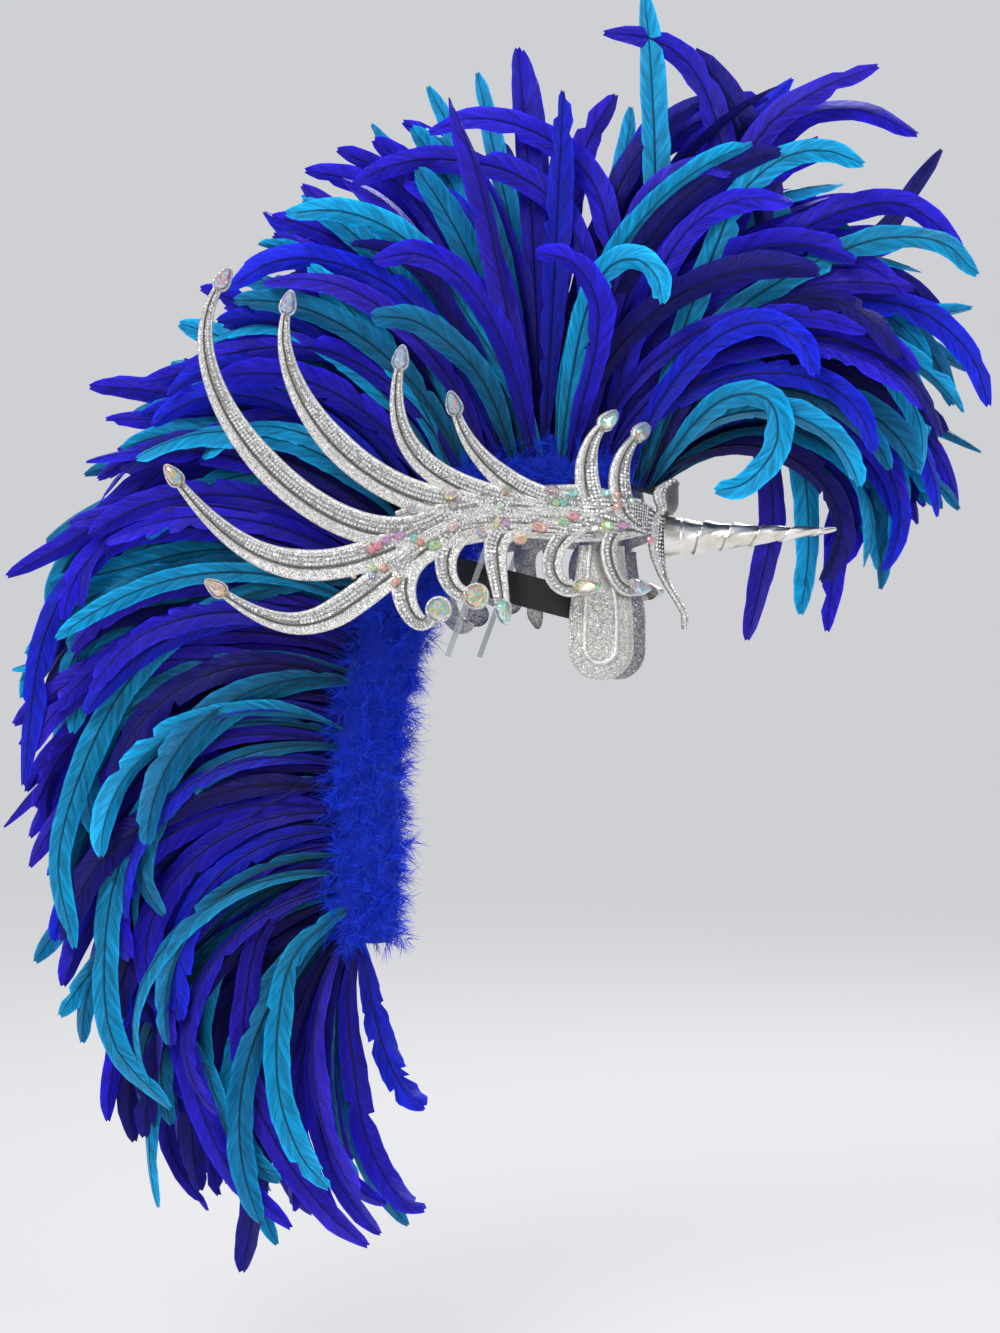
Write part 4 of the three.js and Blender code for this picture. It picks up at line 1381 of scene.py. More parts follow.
@dataclass(frozen=True)
class Strand:
    """A prong or scroll of a side plate, drawn on the unrolled wall.

    Attributes:
        root: Where it leaves the body, in shares of the plate's size.
        tip: Where it ends, in the same shares.
        leave: Its direction at the root, in degrees.
        arrive: Its direction at the tip, in degrees.
        pull: How far it keeps those directions.
        wide: Shares of its full width at the root, halfway and at the tip.
        full: Its full width.
        lead: Where its groove starts along the body.
        turned: Turn of the end stone from the tip's direction, in degrees.
        round_at: Place of a round end stone off the tip, or None for a pear.
    """

    root: tuple[float, float]
    tip: tuple[float, float]
    leave: float
    arrive: float
    pull: tuple[float, float]
    wide: tuple[float, float, float]
    full: float
    lead: tuple[float, float]
    turned: float = 0.0
    round_at: tuple[float, float] | None = None

    @property
    def facing(self) -> float:
        """The way that the end stone points."""
        return self.arrive + self.turned

    def ends(self) -> tuple[Array, Array]:
        """Root and tip in metres."""
        return np.array(self.root) * PLATE_SIZE, np.array(self.tip) * PLATE_SIZE

    def line(self, count: int = 60) -> Array:
        """The middle line from root to tip.

        Args:
            count: How many points it has.

        Returns:
            The line's points.
        """
        start, end = self.ends()
        span = np.linalg.norm(end - start)
        first = start + heading(self.leave) * self.pull[0] * span / 3
        last = end - heading(self.arrive) * self.pull[1] * span / 3
        return cubic(start, first, last, end, count)

    def vein(self) -> Array:
        """The middle line along the body, from the plate's front to the strand's root.

        Returns:
            The line's points.
        """
        start, _ = self.ends()
        front = np.array(self.lead)
        span = np.linalg.norm(start - front)
        first = front + heading(178) * span * 0.4
        return cubic(front, first, start - heading(self.leave) * span * 0.35, start, VEIN_POINTS)

    def track(self) -> tuple[Array, Array]:
        """The whole line, along the body and out to the tip.

        Returns:
            Its points and its half-width at each.
        """
        vein, line = self.vein(), self.line()
        run = np.linspace(0, 1, len(line))
        outer = np.interp(run, [0, 0.5, 1], self.wide) * self.full / 2
        inner = np.interp(np.linspace(0, 1, len(vein)), [0, 0.6, 1], [0.0022, 0.0062, outer[0]])
        return np.vstack([vein[:-1], line]), np.concatenate([inner[:-1], outer])


PRONG = 0.026
SCROLL = 0.019
PRONGS = (
    Strand((-0.31, 0.24), (-0.885, 1.0), 212, 59, (1.1, 1.15), (1.1, 1.0, 0.3), PRONG, (0.030, 0.070)),
    Strand((-0.26, 0.29), (-0.71, 0.92), 176, 77, (1.2, 0.9), (1.1, 1.0, 0.3), PRONG, (0.045, 0.076)),
    Strand((-0.12, 0.29), (-0.415, 0.74), 164, 80, (1.45, 1.4), (1.0, 0.8, 0.3), PRONG, (0.060, 0.080)),
    Strand((0.045, 0.28), (-0.265, 0.59), 173, 106, (1.05, 1.0), (1.0, 0.8, 0.32), PRONG, (0.078, 0.081)),
    Strand((0.094, 0.28), (0.118, 0.545), 110, 45, (1.0, 1.1), (0.95, 0.75, 0.32), PRONG, (0.060, 0.062)),
    Strand((0.185, 0.28), (0.225, 0.515), 110, 42, (1.4, 1.1), (0.95, 0.75, 0.32), PRONG, (0.082, 0.060)),
    Strand((-0.33, 0.22), (-0.985, 0.36), 209, 127, (1.4, 1.5), (1.1, 1.05, 0.3), PRONG, (0.020, 0.064)),
    Strand((-0.31, 0.18), (-0.87, 0.0), 211, 144, (1.45, 1.65), (1.05, 1.0, 0.3), PRONG, (0.020, 0.058)),
)
SCROLLS = (
    Strand(
        (-0.345, 0.155), (-0.335, -0.075), 215, 70, (2.4, 1.1), (1.5, 1.15, 0.75), SCROLL, (0.010, 0.052),
        round_at=(0.009, 0.006),
    ),
    Strand(
        (-0.21, 0.23), (-0.24, -0.005), 195, -18, (1.75, 1.15), (1.4, 1.05, 0.75), SCROLL, (0.030, 0.052),
        round_at=(0.010, -0.001),
    ),
    Strand((-0.09, 0.235), (-0.14, -0.03), 198, -80, (1.45, 1.8), (1.4, 1.05, 0.7), SCROLL, (0.045, 0.056)),
    Strand((0.055, 0.22), (0.044, 0.022), 211, 35, (2.6, 1.0), (0.9, 0.85, 0.8), SCROLL, (0.060, 0.054), -35),
    Strand((0.168, 0.21), (0.19, 0.022), 199, 30, (1.3, 1.1), (0.8, 0.75, 0.75), SCROLL, (0.085, 0.054), -30),
)
STRANDS = PRONGS + SCROLLS


def shaded(glow: Glow, share: float) -> Array:
    """A hue moved towards clear white by a share."""
    return np.array(glow.value) * share + np.array([0.93, 0.95, 1.0]) * (1 - share)


def glitters(glows: Sequence[Glow], count: int, rng: Random) -> Array:
    """Facet colours of a rainbow-coated stone: the coating's hues, laid facet by facet with random brightness
    as painted reflection.

    Args:
        glows: The hues that it shows.
        count: How many facets.
        rng: Source of the differences.

    Returns:
        One colour for each facet.
    """
    picks = rng.integers(0, len(glows), count)
    return np.array([shaded(glows[k], rng.uniform(0.7, 1.0)) * rng.uniform(0.7, 1.1) for k in picks])


def painted_facet_light(count: int, rng: Random) -> Array:
    """Facet colours of clear stones, painted reflections: most are bright and a few go dark.

    Args:
        count: How many facets.
        rng: Source of the differences.

    Returns:
        One colour for each facet.
    """
    level = rng.uniform(0.62, 1.0, count) * np.where(rng.uniform(size=count) < 0.16, 0.3, 1.0)
    warm = rng.normal(0, 0.03, count)
    return np.stack([level * (1 + warm), level, level * (1 - warm)], -1)


def disc(radius: float, sides: int, turn: float = 0.0) -> Array:
    """Corners of an even outline round the origin."""
    angle = turn + np.linspace(0, 2 * np.pi, sides, endpoint=False)
    return radius * np.stack([np.cos(angle), np.sin(angle)], -1)


def pear(length: float, width: float, sides: int = 16, grow: float = 0.0) -> Array:
    """Corners of a pear shape whose point looks along X, about the middle of its round end.

    Args:
        length: Its length.
        width: Its width.
        sides: How many corners.
        grow: How far it is grown.

    Returns:
        The corners.
    """
    angle = np.linspace(0, 2 * np.pi, sides, endpoint=False)
    half = width / 2 + grow
    point = length - width / 2 + grow
    x = np.where(np.cos(angle) > 0, np.cos(angle) * point, np.cos(angle) * half)
    draw = np.where(np.cos(angle) > 0, 1 - 0.45 * np.cos(angle) ** 2 * np.abs(np.sin(angle)), 1.0)
    return np.stack([x, np.sin(angle) * half * draw], -1)


def turned(outline: Array, degrees: float) -> Array:
    """An outline turned about the origin."""
    cos, sin = math.cos(math.radians(degrees)), math.sin(math.radians(degrees))
    return outline @ np.array([[cos, sin], [-sin, cos]])


@dataclass(frozen=True)
class CrystalRow:
    """A row of small crystals along every strand, at a share of its half-width from the middle."""

    offset: float
    narrowest: float = 0.0052
    body_only: bool = False
    scale: float = 1.0


@dataclass
class PlateDress:
    """One side plate with its grooved ribbons, crystals and end stones.

    Heights are over the wall that the plate follows.

    Attributes:
        side: The wearer's side.
        palette: The finishes.
        shell: The wall.
        plate_front: How far forward the plate reaches.
        plate_rise: Its height.
        stone: Width of a small crystal.
        stone_foot: Height of the small crystals' feet.
        gem_foot: Height of the large stones' feet.
        gem_top: Height of the coloured stones' tables.
        tip_top: Height of the end stones' tables.
        pear_size: Length and width of a pear.
        pad_edge: How far a pear's pad stands out round it.
        round_size: Radius of a round end stone.
        round_pad: Radius of its pad.
        tip_clear: Radius round an end stone that small crystals keep clear.
        fill_from: Place forward from which small crystals fill the body.
        body: Rows of place forward and up, and width, as shares of plate_front and plate_rise.
        body_section: Rows of share across, height in millimetres and brightness; the brightness is painted
            light and shade, brighter on the rims and darker in the middle where the crystals sit.
        section: The same for a prong or scroll, with a painted shadow in its groove too.
        rows: The rows of small crystals along each prong and scroll.
        coloured: Rows of place forward and up and size in millimetres, turn in degrees, and hues.
        tips: Hues of each end stone.
    """

    side: Side
    palette: Palette
    shell: Shell = Shell()
    plate_front: float = 0.095
    plate_rise: float = 0.265
    stone: float = 0.0031
    stone_foot: float = 0.0049
    gem_foot: float = 0.0046
    gem_top: float = 0.0088
    tip_top: float = 0.0113
    pear_size: tuple[float, float] = (0.021, 0.013)
    pad_edge: float = 0.0012
    round_size: float = 0.010
    round_pad: float = 0.0117
    tip_clear: float = 0.0095
    fill_from: float = 0.062
    body: tuple[tuple[float, float, float], ...] = (
        (1, 0.245, 0.09), (0.85, 0.25, 0.16), (0.5, 0.255, 0.19), (0.05, 0.262, 0.17), (-0.46, 0.262, 0.17),
        (-1.0, 0.24, 0.185), (-1.45, 0.21, 0.12),
    )
    # Brightness column: painted highlight on the rims and painted shade in the middle; in section also a
    # painted shadow in the groove.
    body_section: tuple[tuple[float, float, float], ...] = (
        (-1, 0.5, 1.0), (-1, 2.8, 1.1), (-0.95, 3.6, 1.2), (-0.8, 4.0, 0.55), (0.8, 4.0, 0.55),
        (0.95, 3.6, 1.2), (1, 2.8, 1.1), (1, 0.5, 1.0),
    )
    section: tuple[tuple[float, float, float], ...] = (
        (-1.0, 0.5, 1.0), (-1.0, 3.2, 1.2), (-0.93, 4.3, 1.35), (-0.84, 4.8, 1.25), (-0.7, 4.9, 0.6),
        (-0.3, 5.1, 0.5), (0.04, 5.0, 0.5), (0.13, 4.4, 0.25), (0.19, 3.7, 0.1), (0.25, 4.4, 0.3),
        (0.34, 5.0, 0.85), (0.6, 5.3, 0.92), (0.84, 4.8, 1.25), (0.93, 4.3, 1.35), (1.0, 3.2, 1.2),
        (1.0, 0.5, 1.0),
    )
    rows: tuple[CrystalRow, ...] = (
        CrystalRow(-0.34, narrowest=0.0), CrystalRow(-0.64), CrystalRow(-0.05),
        CrystalRow(0.5, body_only=True, scale=0.8),
    )
    coloured: tuple[tuple[float, float, float, float, tuple[Glow, ...]], ...] = (
        (-92, 85, 10, 15, (SUN, LILAC)), (-90, 76, 6, 0, (MINT, ROSE)),
        (-126, 73, 9, 160, (SKY, CORAL)), (-44, 89, 9, 20, (CORAL, MINT)),
        (-49, 76, 6, 0, (MINT, CREAM)), (-4, 90, 9, 170, (MINT, ROSE)),
        (-1, 78, 6, 0, (MINT, SUN)), (13, 86, 8, 10, (MINT, SKY)),
        (5, 78, 6, 0, (MINT, SKY)), (-90, 57, 8, 30, (CREAM, ROSE)),
        (-106, 42, 10, 20, (SUN, MINT)), (-52, 61, 8, 60, (SUN, CREAM)),
        (-44, 61, 6, 0, (LILAC, ROSE)), (-66, 53, 9, 150, (SKY, CORAL)),
        (-15, 57, 11, 165, (SUN, ROSE)), (-31, 46, 10, 20, (SUN, ROSE)),
        (5, 62, 8, 0, (MINT, SUN)), (13, 66, 8, 10, (ROSE, CORAL)),
        (30, 56, 8, 20, (MINT, ROSE)), (43, 59, 10, 0, (MINT, SUN)),
        (58, 59, 8, 0, (ROSE, LILAC)), (41, 87, 6, 0, (MINT, SKY)),
        (51, 86, 6, 0, (CORAL, CREAM)), (52, 76, 8, 30, (CORAL, PEACH)),
        (66, 81, 6, 0, (MINT, CREAM)), (90, 48, 6, 0, (ROSE, CORAL)),
        (-137, 50, 8, 30, (LILAC, ROSE)), (-148, 47, 8, 30, (LILAC, ROSE)),
        (-155, 41, 7, 30, (ROSE, CORAL)), (-161, 38, 7, 30, (ROSE, CORAL)),
        (-124, 48, 7, 0, (SKY, MINT)), (-119, 45, 7, 0, (CORAL, PEACH)),
        (-159, 22, 6, 0, (SUN, MINT)), (-160, 16, 6, 0, (LILAC, SKY)),
        (-150, 22, 6, 0, (CORAL, PEACH)), (-176, 15, 5, 0, (PEACH, CREAM)),
        (-139, 10, 8, 40, (CORAL, PEACH)),
    )
    tips: tuple[tuple[Glow, ...], ...] = (
        (SKY, CREAM, ROSE), (CREAM, SKY, LILAC),
        (SKY, LILAC, CREAM), (SKY, MINT, ROSE),
        (SKY, PEACH, MINT), (SKY, MINT, CORAL),
        (SUN, SKY, ROSE), (SUN, CREAM, ROSE),
        (SUN, LILAC, MINT), (MINT, ROSE, SUN),
        (SKY, MINT, CREAM), (SUN, MINT, ROSE),
        (MINT, SKY, ROSE),
    )

    def lay(self, flat: Array, off: Array | float) -> Array:
        """Points on this side's wall."""
        return self.shell.place(flat, off, self.side)

    def ribbon(self, surface: Surface, line: Array, half: Array, rows: Sequence[Sequence[float]]) -> None:
        """A foam ribbon with a shaped section along a line.

        Args:
            surface: What the faces are added to.
            line: Its middle line on the unrolled wall.
            half: Its half-width at each point.
            rows: Section as shares across, heights in millimetres and brightness, the brightness being
                painted light and shade.
        """
        table = np.array(rows)
        ahead = tangents(line)
        left = np.stack([-ahead[:, 1], ahead[:, 0]], -1)
        flat = line[:, None] + left[:, None] * (table[:, 0] * half[:, None])[..., None]
        off = np.broadcast_to(table[:, 1] / PER_METRE, flat.shape[:2])
        ring = self.lay(flat, off)
        if self.side is Side.LEFT:
            ring = ring[:, ::-1]
            table = table[::-1]
        # The brightness of each section row paints light and shade on the foam.
        surface.skin(ring, np.broadcast_to(table[:, 2][None, :, None], ring.shape))

    def pad(self, surface: Surface, centre: Array, outline: Array) -> None:
        """A flat foam pad under an end stone.

        Args:
            surface: What the faces are added to.
            centre: Its place on the unrolled wall.
            outline: Its outline about that place.
        """
        if self.side is Side.LEFT:
            outline = outline[::-1]
        rings = [(1.0, 0.0005), (1.0, 0.0034), (0.95, 0.0045), (0.85, 0.0049)]
        stack = np.array([self.lay(centre + outline * grow, off) for grow, off in rings])
        # Painted highlight: the pad's walls are brighter than its top.
        surface.grid(stack, np.array([1.25, 1.25, 1.25]), closed=True)
        surface.add(stack[-1], np.arange(len(outline))[None], np.ones(3))

    def gem(
        self, surface: Surface, centre: Array, outline: Array, high: float, tints: Callable[[int], Array]
    ) -> None:
        """A large cut stone with a flat table and two rows of three-cornered facets.

        Args:
            surface: What the faces are added to.
            centre: Its place on the unrolled wall.
            outline: Its girdle about that place.
            high: Height of its table over the wall.
            tints: Gives a colour for each of a number of facets.
        """
        if self.side is Side.LEFT:
            outline = outline[::-1]
        sides = len(outline)
        between_corners = (outline + np.roll(outline, -1, axis=0)) / 2
        low = self.gem_foot
        rise = high - low
        rings = [
            self.lay(centre + outline, low),
            self.lay(centre + outline, low + 0.25 * rise),
            self.lay(centre + between_corners * 0.82, low + 0.72 * rise),
            self.lay(centre + outline * 0.55, high),
        ]
        k = np.arange(sides)
        n = (k + 1) % sides
        surface.add(np.vstack(rings[:2]), belt(sides), tints(sides))
        lower = np.stack([k, n, k + sides], -1)
        upper = np.stack([n, n + sides, k + sides], -1)
        surface.add(np.vstack(rings[1:3]), np.vstack([lower, upper]), tints(2 * sides))
        inner = np.stack([k, n + sides, k + sides], -1)
        outer = np.stack([k, n, n + sides], -1)
        surface.add(np.vstack(rings[2:4]), np.vstack([inner, outer]), tints(2 * sides))
        middle = np.vstack([rings[3], self.lay(centre[None], high + 0.0001)])
        surface.add(middle, np.stack([k, n, np.full(sides, sides)], -1), tints(sides))

    def chips(self, surface: Surface, centres: Array, radii: Array, rng: Random) -> None:
        """Many small round crystals.

        Args:
            surface: What the faces are added to.
            centres: Their places on the unrolled wall.
            radii: Their radii.
            rng: Source of their turns and tints.
        """
        sides = 8
        number = len(centres)
        angle = rng.uniform(0, 2 * np.pi, (number, 1)) + np.linspace(0, 2 * np.pi, sides, endpoint=False)
        if self.side is Side.LEFT:
            angle = angle[:, ::-1]
        around = np.stack([np.cos(angle), np.sin(angle)], -1) * radii[:, None, None]
        tilt = rng.normal(0, 0.07, (number, 1, 2))
        rings = []
        for grow, rise in ((1.0, 0.0), (1.0, 0.35), (0.56, 0.95)):
            flat = centres[:, None] + around * grow
            lean = (around * grow * tilt).sum(-1) * (rise > 0.5)
            rings.append(self.lay(flat, self.stone_foot + radii[:, None] * rise * 0.85 + lean))
        points = np.stack(rings, 1).reshape(-1, 3)
        starts = np.arange(number) * 3 * sides
        girdles = (belt(sides, 2) + starts[:, None, None]).reshape(-1, 4)
        surface.add(points, girdles, painted_facet_light(len(girdles), rng))
        tables = np.arange(2 * sides, 3 * sides) + starts[:, None]
        # The tables get a slightly brighter painted reflection.
        surface.add(points, tables, painted_facet_light(number, rng) * 1.05)

    def seats(self) -> list[tuple[Array, Array]]:
        """Finds where the end stones sit on the unrolled wall.

        Returns:
            Place and outline of each stone.
        """
        found = []
        for strand in STRANDS:
            tip = strand.line()[-1]
            if strand.round_at:
                found.append((tip + strand.round_at, disc(self.round_size, 16)))
            else:
                centre = tip + heading(strand.facing) * 0.35 * self.pear_size[1]
                found.append((centre, turned(pear(*self.pear_size), strand.facing)))
        return found

    def body_line(self) -> tuple[Array, Array]:
        """Middle line of the body.

        Returns:
            Its points and its half-width at each.
        """
        points = [(at * self.plate_front, up * self.plate_rise) for at, up, _ in self.body]
        halves = [wide * self.plate_rise / 2 for _, _, wide in self.body]
        line = through(points, 80)
        run = np.linspace(0, 1, len(line))
        return line, np.interp(run, np.linspace(0, 1, len(points)), halves)

    def foam(self) -> Surface:
        """The body, its ribbons and the pads.

        Returns:
            Their faces.
        """
        surface = Surface()
        self.ribbon(surface, *self.body_line(), self.body_section)
        for strand in STRANDS:
            self.ribbon(surface, *strand.track(), self.section)
        for strand, (centre, _) in zip(STRANDS, self.seats()):
            if strand.round_at:
                self.pad(surface, centre, disc(self.round_pad, 28))
            else:
                self.pad(surface, centre, turned(pear(*self.pear_size, 28, self.pad_edge), strand.facing))
        return surface

    def candidates(self) -> tuple[Array, Array]:
        """Places for small crystals in order of preference.

        Returns:
            The places and the crystals' radii.
        """
        spots, radii = [], []
        radius = self.stone / 2
        for row in self.rows:
            for strand in STRANDS:
                line, half = strand.track()
                steps = np.concatenate([[0], np.cumsum(np.linalg.norm(np.diff(line, axis=0), axis=1))])
                stop = steps[VEIN_POINTS - 1] if row.body_only else steps[-1] - 0.004
                at = np.arange(0.001, stop, self.stone * 1.04)
                here = np.stack([np.interp(at, steps, line[:, k]) for k in range(2)], -1)
                ahead = tangents(line)
                left = np.stack([-ahead[:, 1], ahead[:, 0]], -1)
                away = np.stack([np.interp(at, steps, left[:, k]) for k in range(2)], -1)
                wide = np.interp(at, steps, half)
                room = wide > row.narrowest
                spots.append((here + away * (wide * row.offset)[:, None])[room])
                radii.append(np.full(room.sum(), radius * row.scale))
        line, half = self.body_line()
        ahead = tangents(line)
        left = np.stack([-ahead[:, 1], ahead[:, 0]], -1)
        fore = line[:, 0] > self.fill_from
        for offset in np.linspace(-0.85, 0.85, 11):
            spots.append((line + left * (half * offset)[:, None])[fore])
            radii.append(np.full(fore.sum(), radius * 0.8))
        return np.vstack(spots), np.concatenate(radii)

    def crystals(self) -> Surface:
        """The small clear crystals, none on top of another or of a coloured stone.

        Returns:
            Their faces.
        """
        rng = np.random.default_rng(12)
        fixed = [((u / PER_METRE, v / PER_METRE), size / 1900) for u, v, size, _, _ in self.coloured]
        fixed += [(tuple(centre), self.tip_clear) for centre, _ in self.seats()]
        kept = np.array([place for place, _ in fixed])
        kept_radii = np.array([radius for _, radius in fixed])
        for spot, radius in zip(*self.candidates()):
            clear = np.linalg.norm(kept - spot, axis=1) > (kept_radii + radius) * 0.94
            if clear.all():
                kept = np.vstack([kept, spot])
                kept_radii = np.append(kept_radii, radius)
        surface = Surface()
        self.chips(surface, kept[len(fixed):], kept_radii[len(fixed):], rng)
        return surface

    def rainbow(self) -> Surface:
        """The coloured stones on the body.

        Returns:
            Their faces.
        """
        rng = np.random.default_rng(13)
        surface = Surface()
        for u, v, size, angle, glows in self.coloured:
            shape = disc(size / 1750, 10) if size < 8 else turned(disc(size / 2000, 12) * (1.25, 0.84), angle)
            centre = np.array([u, v]) / PER_METRE
            self.gem(surface, centre, shape, self.gem_top, lambda count: glitters(glows, count, rng))
        return surface

    def build(self) -> None:
        """Makes this side's pieces."""
        word = self.side.word
        clear, aurora = self.palette.crystal, self.palette.aurora
        trim = f"crystal_trim_{word}"
        show(self.foam(), f"plate_{word}", self.palette.glitter, "glitter_foam", f"side_plate_{word}")
        show(self.crystals(), f"crystals_{word}", clear, "crystal", trim, smooth=False)
        show(self.rainbow(), f"rainbow_{word}", aurora, "aurora_crystal", trim, smooth=False)
        rng = np.random.default_rng(14)
        for number, ((centre, outline), glows) in enumerate(zip(self.seats(), self.tips), 1):
            surface = Surface()
            self.gem(surface, centre, outline, self.tip_top, lambda count: glitters(glows, count, rng))
            node = f"tip_stone_{word}_{number}"
            show(surface, f"tip_{word}_{number}", aurora, "aurora_crystal", node, smooth=False)


@dataclass
class Brow:
    """Front plate: a lobe edged with crystals that tapers down the brow.

    Attributes:
        palette: The finishes.
        top: Height of its top.
        height: How far down it reaches.
        half: Half-width at a share of 1.
        long: Radius that it is bent to.
        back: How far behind the origin that radius has its middle.
        forward_unit: Distance forward at a share of 1.
        stone_foot: Distance of the crystals' feet from the back face.
        stone_sunk: How far they sink in.
        outline: Rows of share down, share of the half-width and share of forward_unit.
        section: Rows of share across, height in millimetres and brightness; the brightness paints a highlight
            on the raised edge and is darker in the middle.
    """

    palette: Palette
    top: float = 0.104
    height: float = 0.134
    half: float = 0.037
    long: float = 0.094
    back: float = 0.012
    forward_unit: float = 0.1
    stone_foot: float = 0.0048
    stone_sunk: float = 0.0005
    outline: tuple[tuple[float, float, float], ...] = (
        (0.0, 0.14, 0.1), (0.01, 0.5, 0.11), (0.03, 0.95, 0.12), (0.07, 1.28, 0.12), (0.12, 1.4, 0.12),
        (0.17, 1.36, 0.12), (0.21, 1.16, 0.1), (0.235, 0.94, 0.04), (0.25, 0.84, 0.0), (0.3, 0.96, 0.0),
        (0.38, 1.0, 0.0), (0.45, 1.0, -0.01), (0.53, 0.82, -0.02), (0.64, 0.5, 0.0), (0.72, 0.38, 0.05),
        (0.82, 0.28, 0.13), (0.9, 0.22, 0.186), (1.0, 0.1, 0.186),
    )
    section: tuple[tuple[float, float, float], ...] = (
        (-1, 2.6, 1.2), (-0.97, 3.8, 1.3), (-0.9, 4.6, 1.3), (-0.82, 4.6, 1.0), (-0.7, 3.8, 0.62),
        (-0.4, 3.8, 0.55), (0, 3.8, 0.55), (0.4, 3.8, 0.55), (0.7, 3.8, 0.62), (0.82, 4.6, 1.0),
        (0.9, 4.6, 1.3), (0.97, 3.8, 1.3), (1, 2.6, 1.2),
    )

    def sheet(self, down: Array, across: Array, off: Array | float) -> Array:
        """Points on the front plate.

        Args:
            down: Shares of its height from its top.
            across: Shares of its half-width, from -1 to 1.
            off: Distance forward from its back face.

        Returns:
            The points.
        """
        row = table_at(self.outline, down)
        aside = across * row[..., 0] * self.half
        x = self.long * np.sqrt(1 - (aside / self.long) ** 2) - self.back
        x = x + row[..., 1] * self.forward_unit
        return np.stack(np.broadcast_arrays(x + off, aside, self.top - down * self.height), -1)

    def foam(self) -> Surface:
        """The plate itself, with a painted highlight on its raised edge, a darker middle and painted shadow
        on the lobe's face.

        Returns:
            Its faces.
        """
        surface = Surface()
        across, rise, edge = np.array(self.section).T
        down = np.linspace(0, 1, 70)[:, None]
        outer = self.sheet(down, across[None], rise / PER_METRE)
        inner = self.sheet(down, across[None, ::-1], 0.0002)
        ring = np.concatenate([outer, inner], axis=1)
        # The back face is painted at half brightness.
        tints = np.concatenate([edge, np.full(len(edge), 0.5)])[None, :, None]
        # Painted shadow: the lobe's face near the top is darkened to half.
        lobe = 1 - 0.5 * (1 - smoothstep(0.22, 0.28, down))[..., None] * (tints < 1)
        surface.skin(ring, np.broadcast_to(tints * lobe, ring.shape))
        return surface

    def seats(self, rng: Random) -> list[tuple[float, float]]:
        """Places of the crystals: along both edges, over the middle, down the brow and round the lobe.

        Args:
            rng: Source of small shifts.

        Returns:
            Shares down and across for each crystal.
        """
        edges = [(down, across) for down in np.linspace(0.02, 0.62, 26) for across in (-0.86, 0.86)]
        middle = [
            (down, across + rng.normal(0, 0.02))
            for down in np.arange(0.27, 0.58, 0.026)
            for across in np.arange(-0.66, 0.7, 0.22)
        ]
        brow = [(down, 0.0) for down in np.arange(0.6, 0.97, 0.022)]
        rim = [(down, across) for down in np.linspace(0.03, 0.22, 11) for across in (-0.95, 0.95)]
        return edges + middle + brow + rim

    def stones(self) -> Surface:
        """The plate's small crystals.

        Returns:
            Their faces.
        """
        rng = np.random.default_rng(21)
        surface = Surface()
        sides = 8
        for down, across in self.seats(rng):
            size = 0.0019 if abs(across) > 0.8 else 0.0015
            centre = self.sheet(np.array(down), np.array(across), self.stone_foot)
            beside = self.sheet(np.array(down), np.array(across + 0.02), self.stone_foot)
            east = unit(beside - centre)
            facing = unit(np.cross(east, np.array([0.0, 0.0, 1.0])) + rng.normal(0, 0.06, 3))
            north = np.cross(facing, east)
            angle = rng.uniform(0, 6) + np.linspace(0, 2 * np.pi, sides, endpoint=False)[:, None]
            around = (np.cos(angle) * east + np.sin(angle) * north) * size
            rings = [
                centre + around - facing * self.stone_sunk,
                centre + around + facing * size * 0.35,
                centre + around * 0.56 + facing * size * 0.85,
            ]
            surface.add(np.vstack(rings), belt(sides, 2), painted_facet_light(2 * sides, rng))
            surface.add(rings[2], np.arange(sides)[None], painted_facet_light(1, rng))
        return surface

    def build(self) -> None:
        """Makes the front plate's pieces."""
        show(self.foam(), "brow_plate", self.palette.glitter, "glitter_foam", "front_plate")
        show(self.stones(), "brow_crystals", self.palette.crystal, "crystal", "front_plate", smooth=False)


@dataclass
class Horn:
    """Foil-wrapped horn with a smooth collar and a spiral groove."""

    palette: Palette
    start: float = 0.0863
    height: float = 0.052
    length: float = 0.152
    base: float = 0.037
    tip: float = 0.004
    rise: float = 2.4
    collar: float = 0.016
    turns: float = 6.0
    groove: float = 0.0034

    def build(self) -> None:
        """Makes the horn."""
        run = np.linspace(0, 1, 240)[:, None]
        turn = np.linspace(0, 1, 56, endpoint=False)[None]
        cone = (self.base + (self.tip - self.base) * run**0.9) / 2
        grooved = smoothstep(self.collar, self.collar * 1.2, run * self.length)
        phase = turn + self.turns * run**0.85
        along_band = phase % 1.0
        cut = (along_band**1.6 - 0.25) * smoothstep(0.0, 0.06, along_band) * (1 - 0.55 * run)
        rng = np.random.default_rng(5)
        crease = np.zeros_like(phase)
        for _ in range(26):
            around, along, slope = rng.integers(2, 9), rng.uniform(8, 60), rng.uniform(-3, 3)
            crease += np.sin(2 * np.pi * (around * turn + slope * run) + along * run + rng.uniform(0, 6))
        lip = 0.0009 * smoothstep(self.collar * 0.96, self.collar * 0.9, run * self.length)
        radius = cone + lip - self.groove * grooved * cut + 0.00004 * crease * (0.3 + grooved)
        radius = radius * np.where(run > 0.985, np.sqrt(np.clip((1 - run) / 0.015, 0, 1)), 1.0)
        angle = 2 * np.pi * turn
        x = run * self.length + 0 * angle
        y = radius * np.cos(angle)
        z = radius * np.sin(angle)
        lift = np.radians(self.rise) * run
        forward = x * np.cos(lift) - z * np.sin(lift) + self.start
        up = x * np.sin(lift) + z * np.cos(lift) + self.height
        surface = Surface()
        surface.grid(np.stack([forward, y, up], -1), closed=True)
        surface.add(np.stack([forward[0], y[0], up[0]], -1), np.arange(56)[None, ::-1])
        show(surface, "foil_horn", self.palette.foil, "foil", "horn")


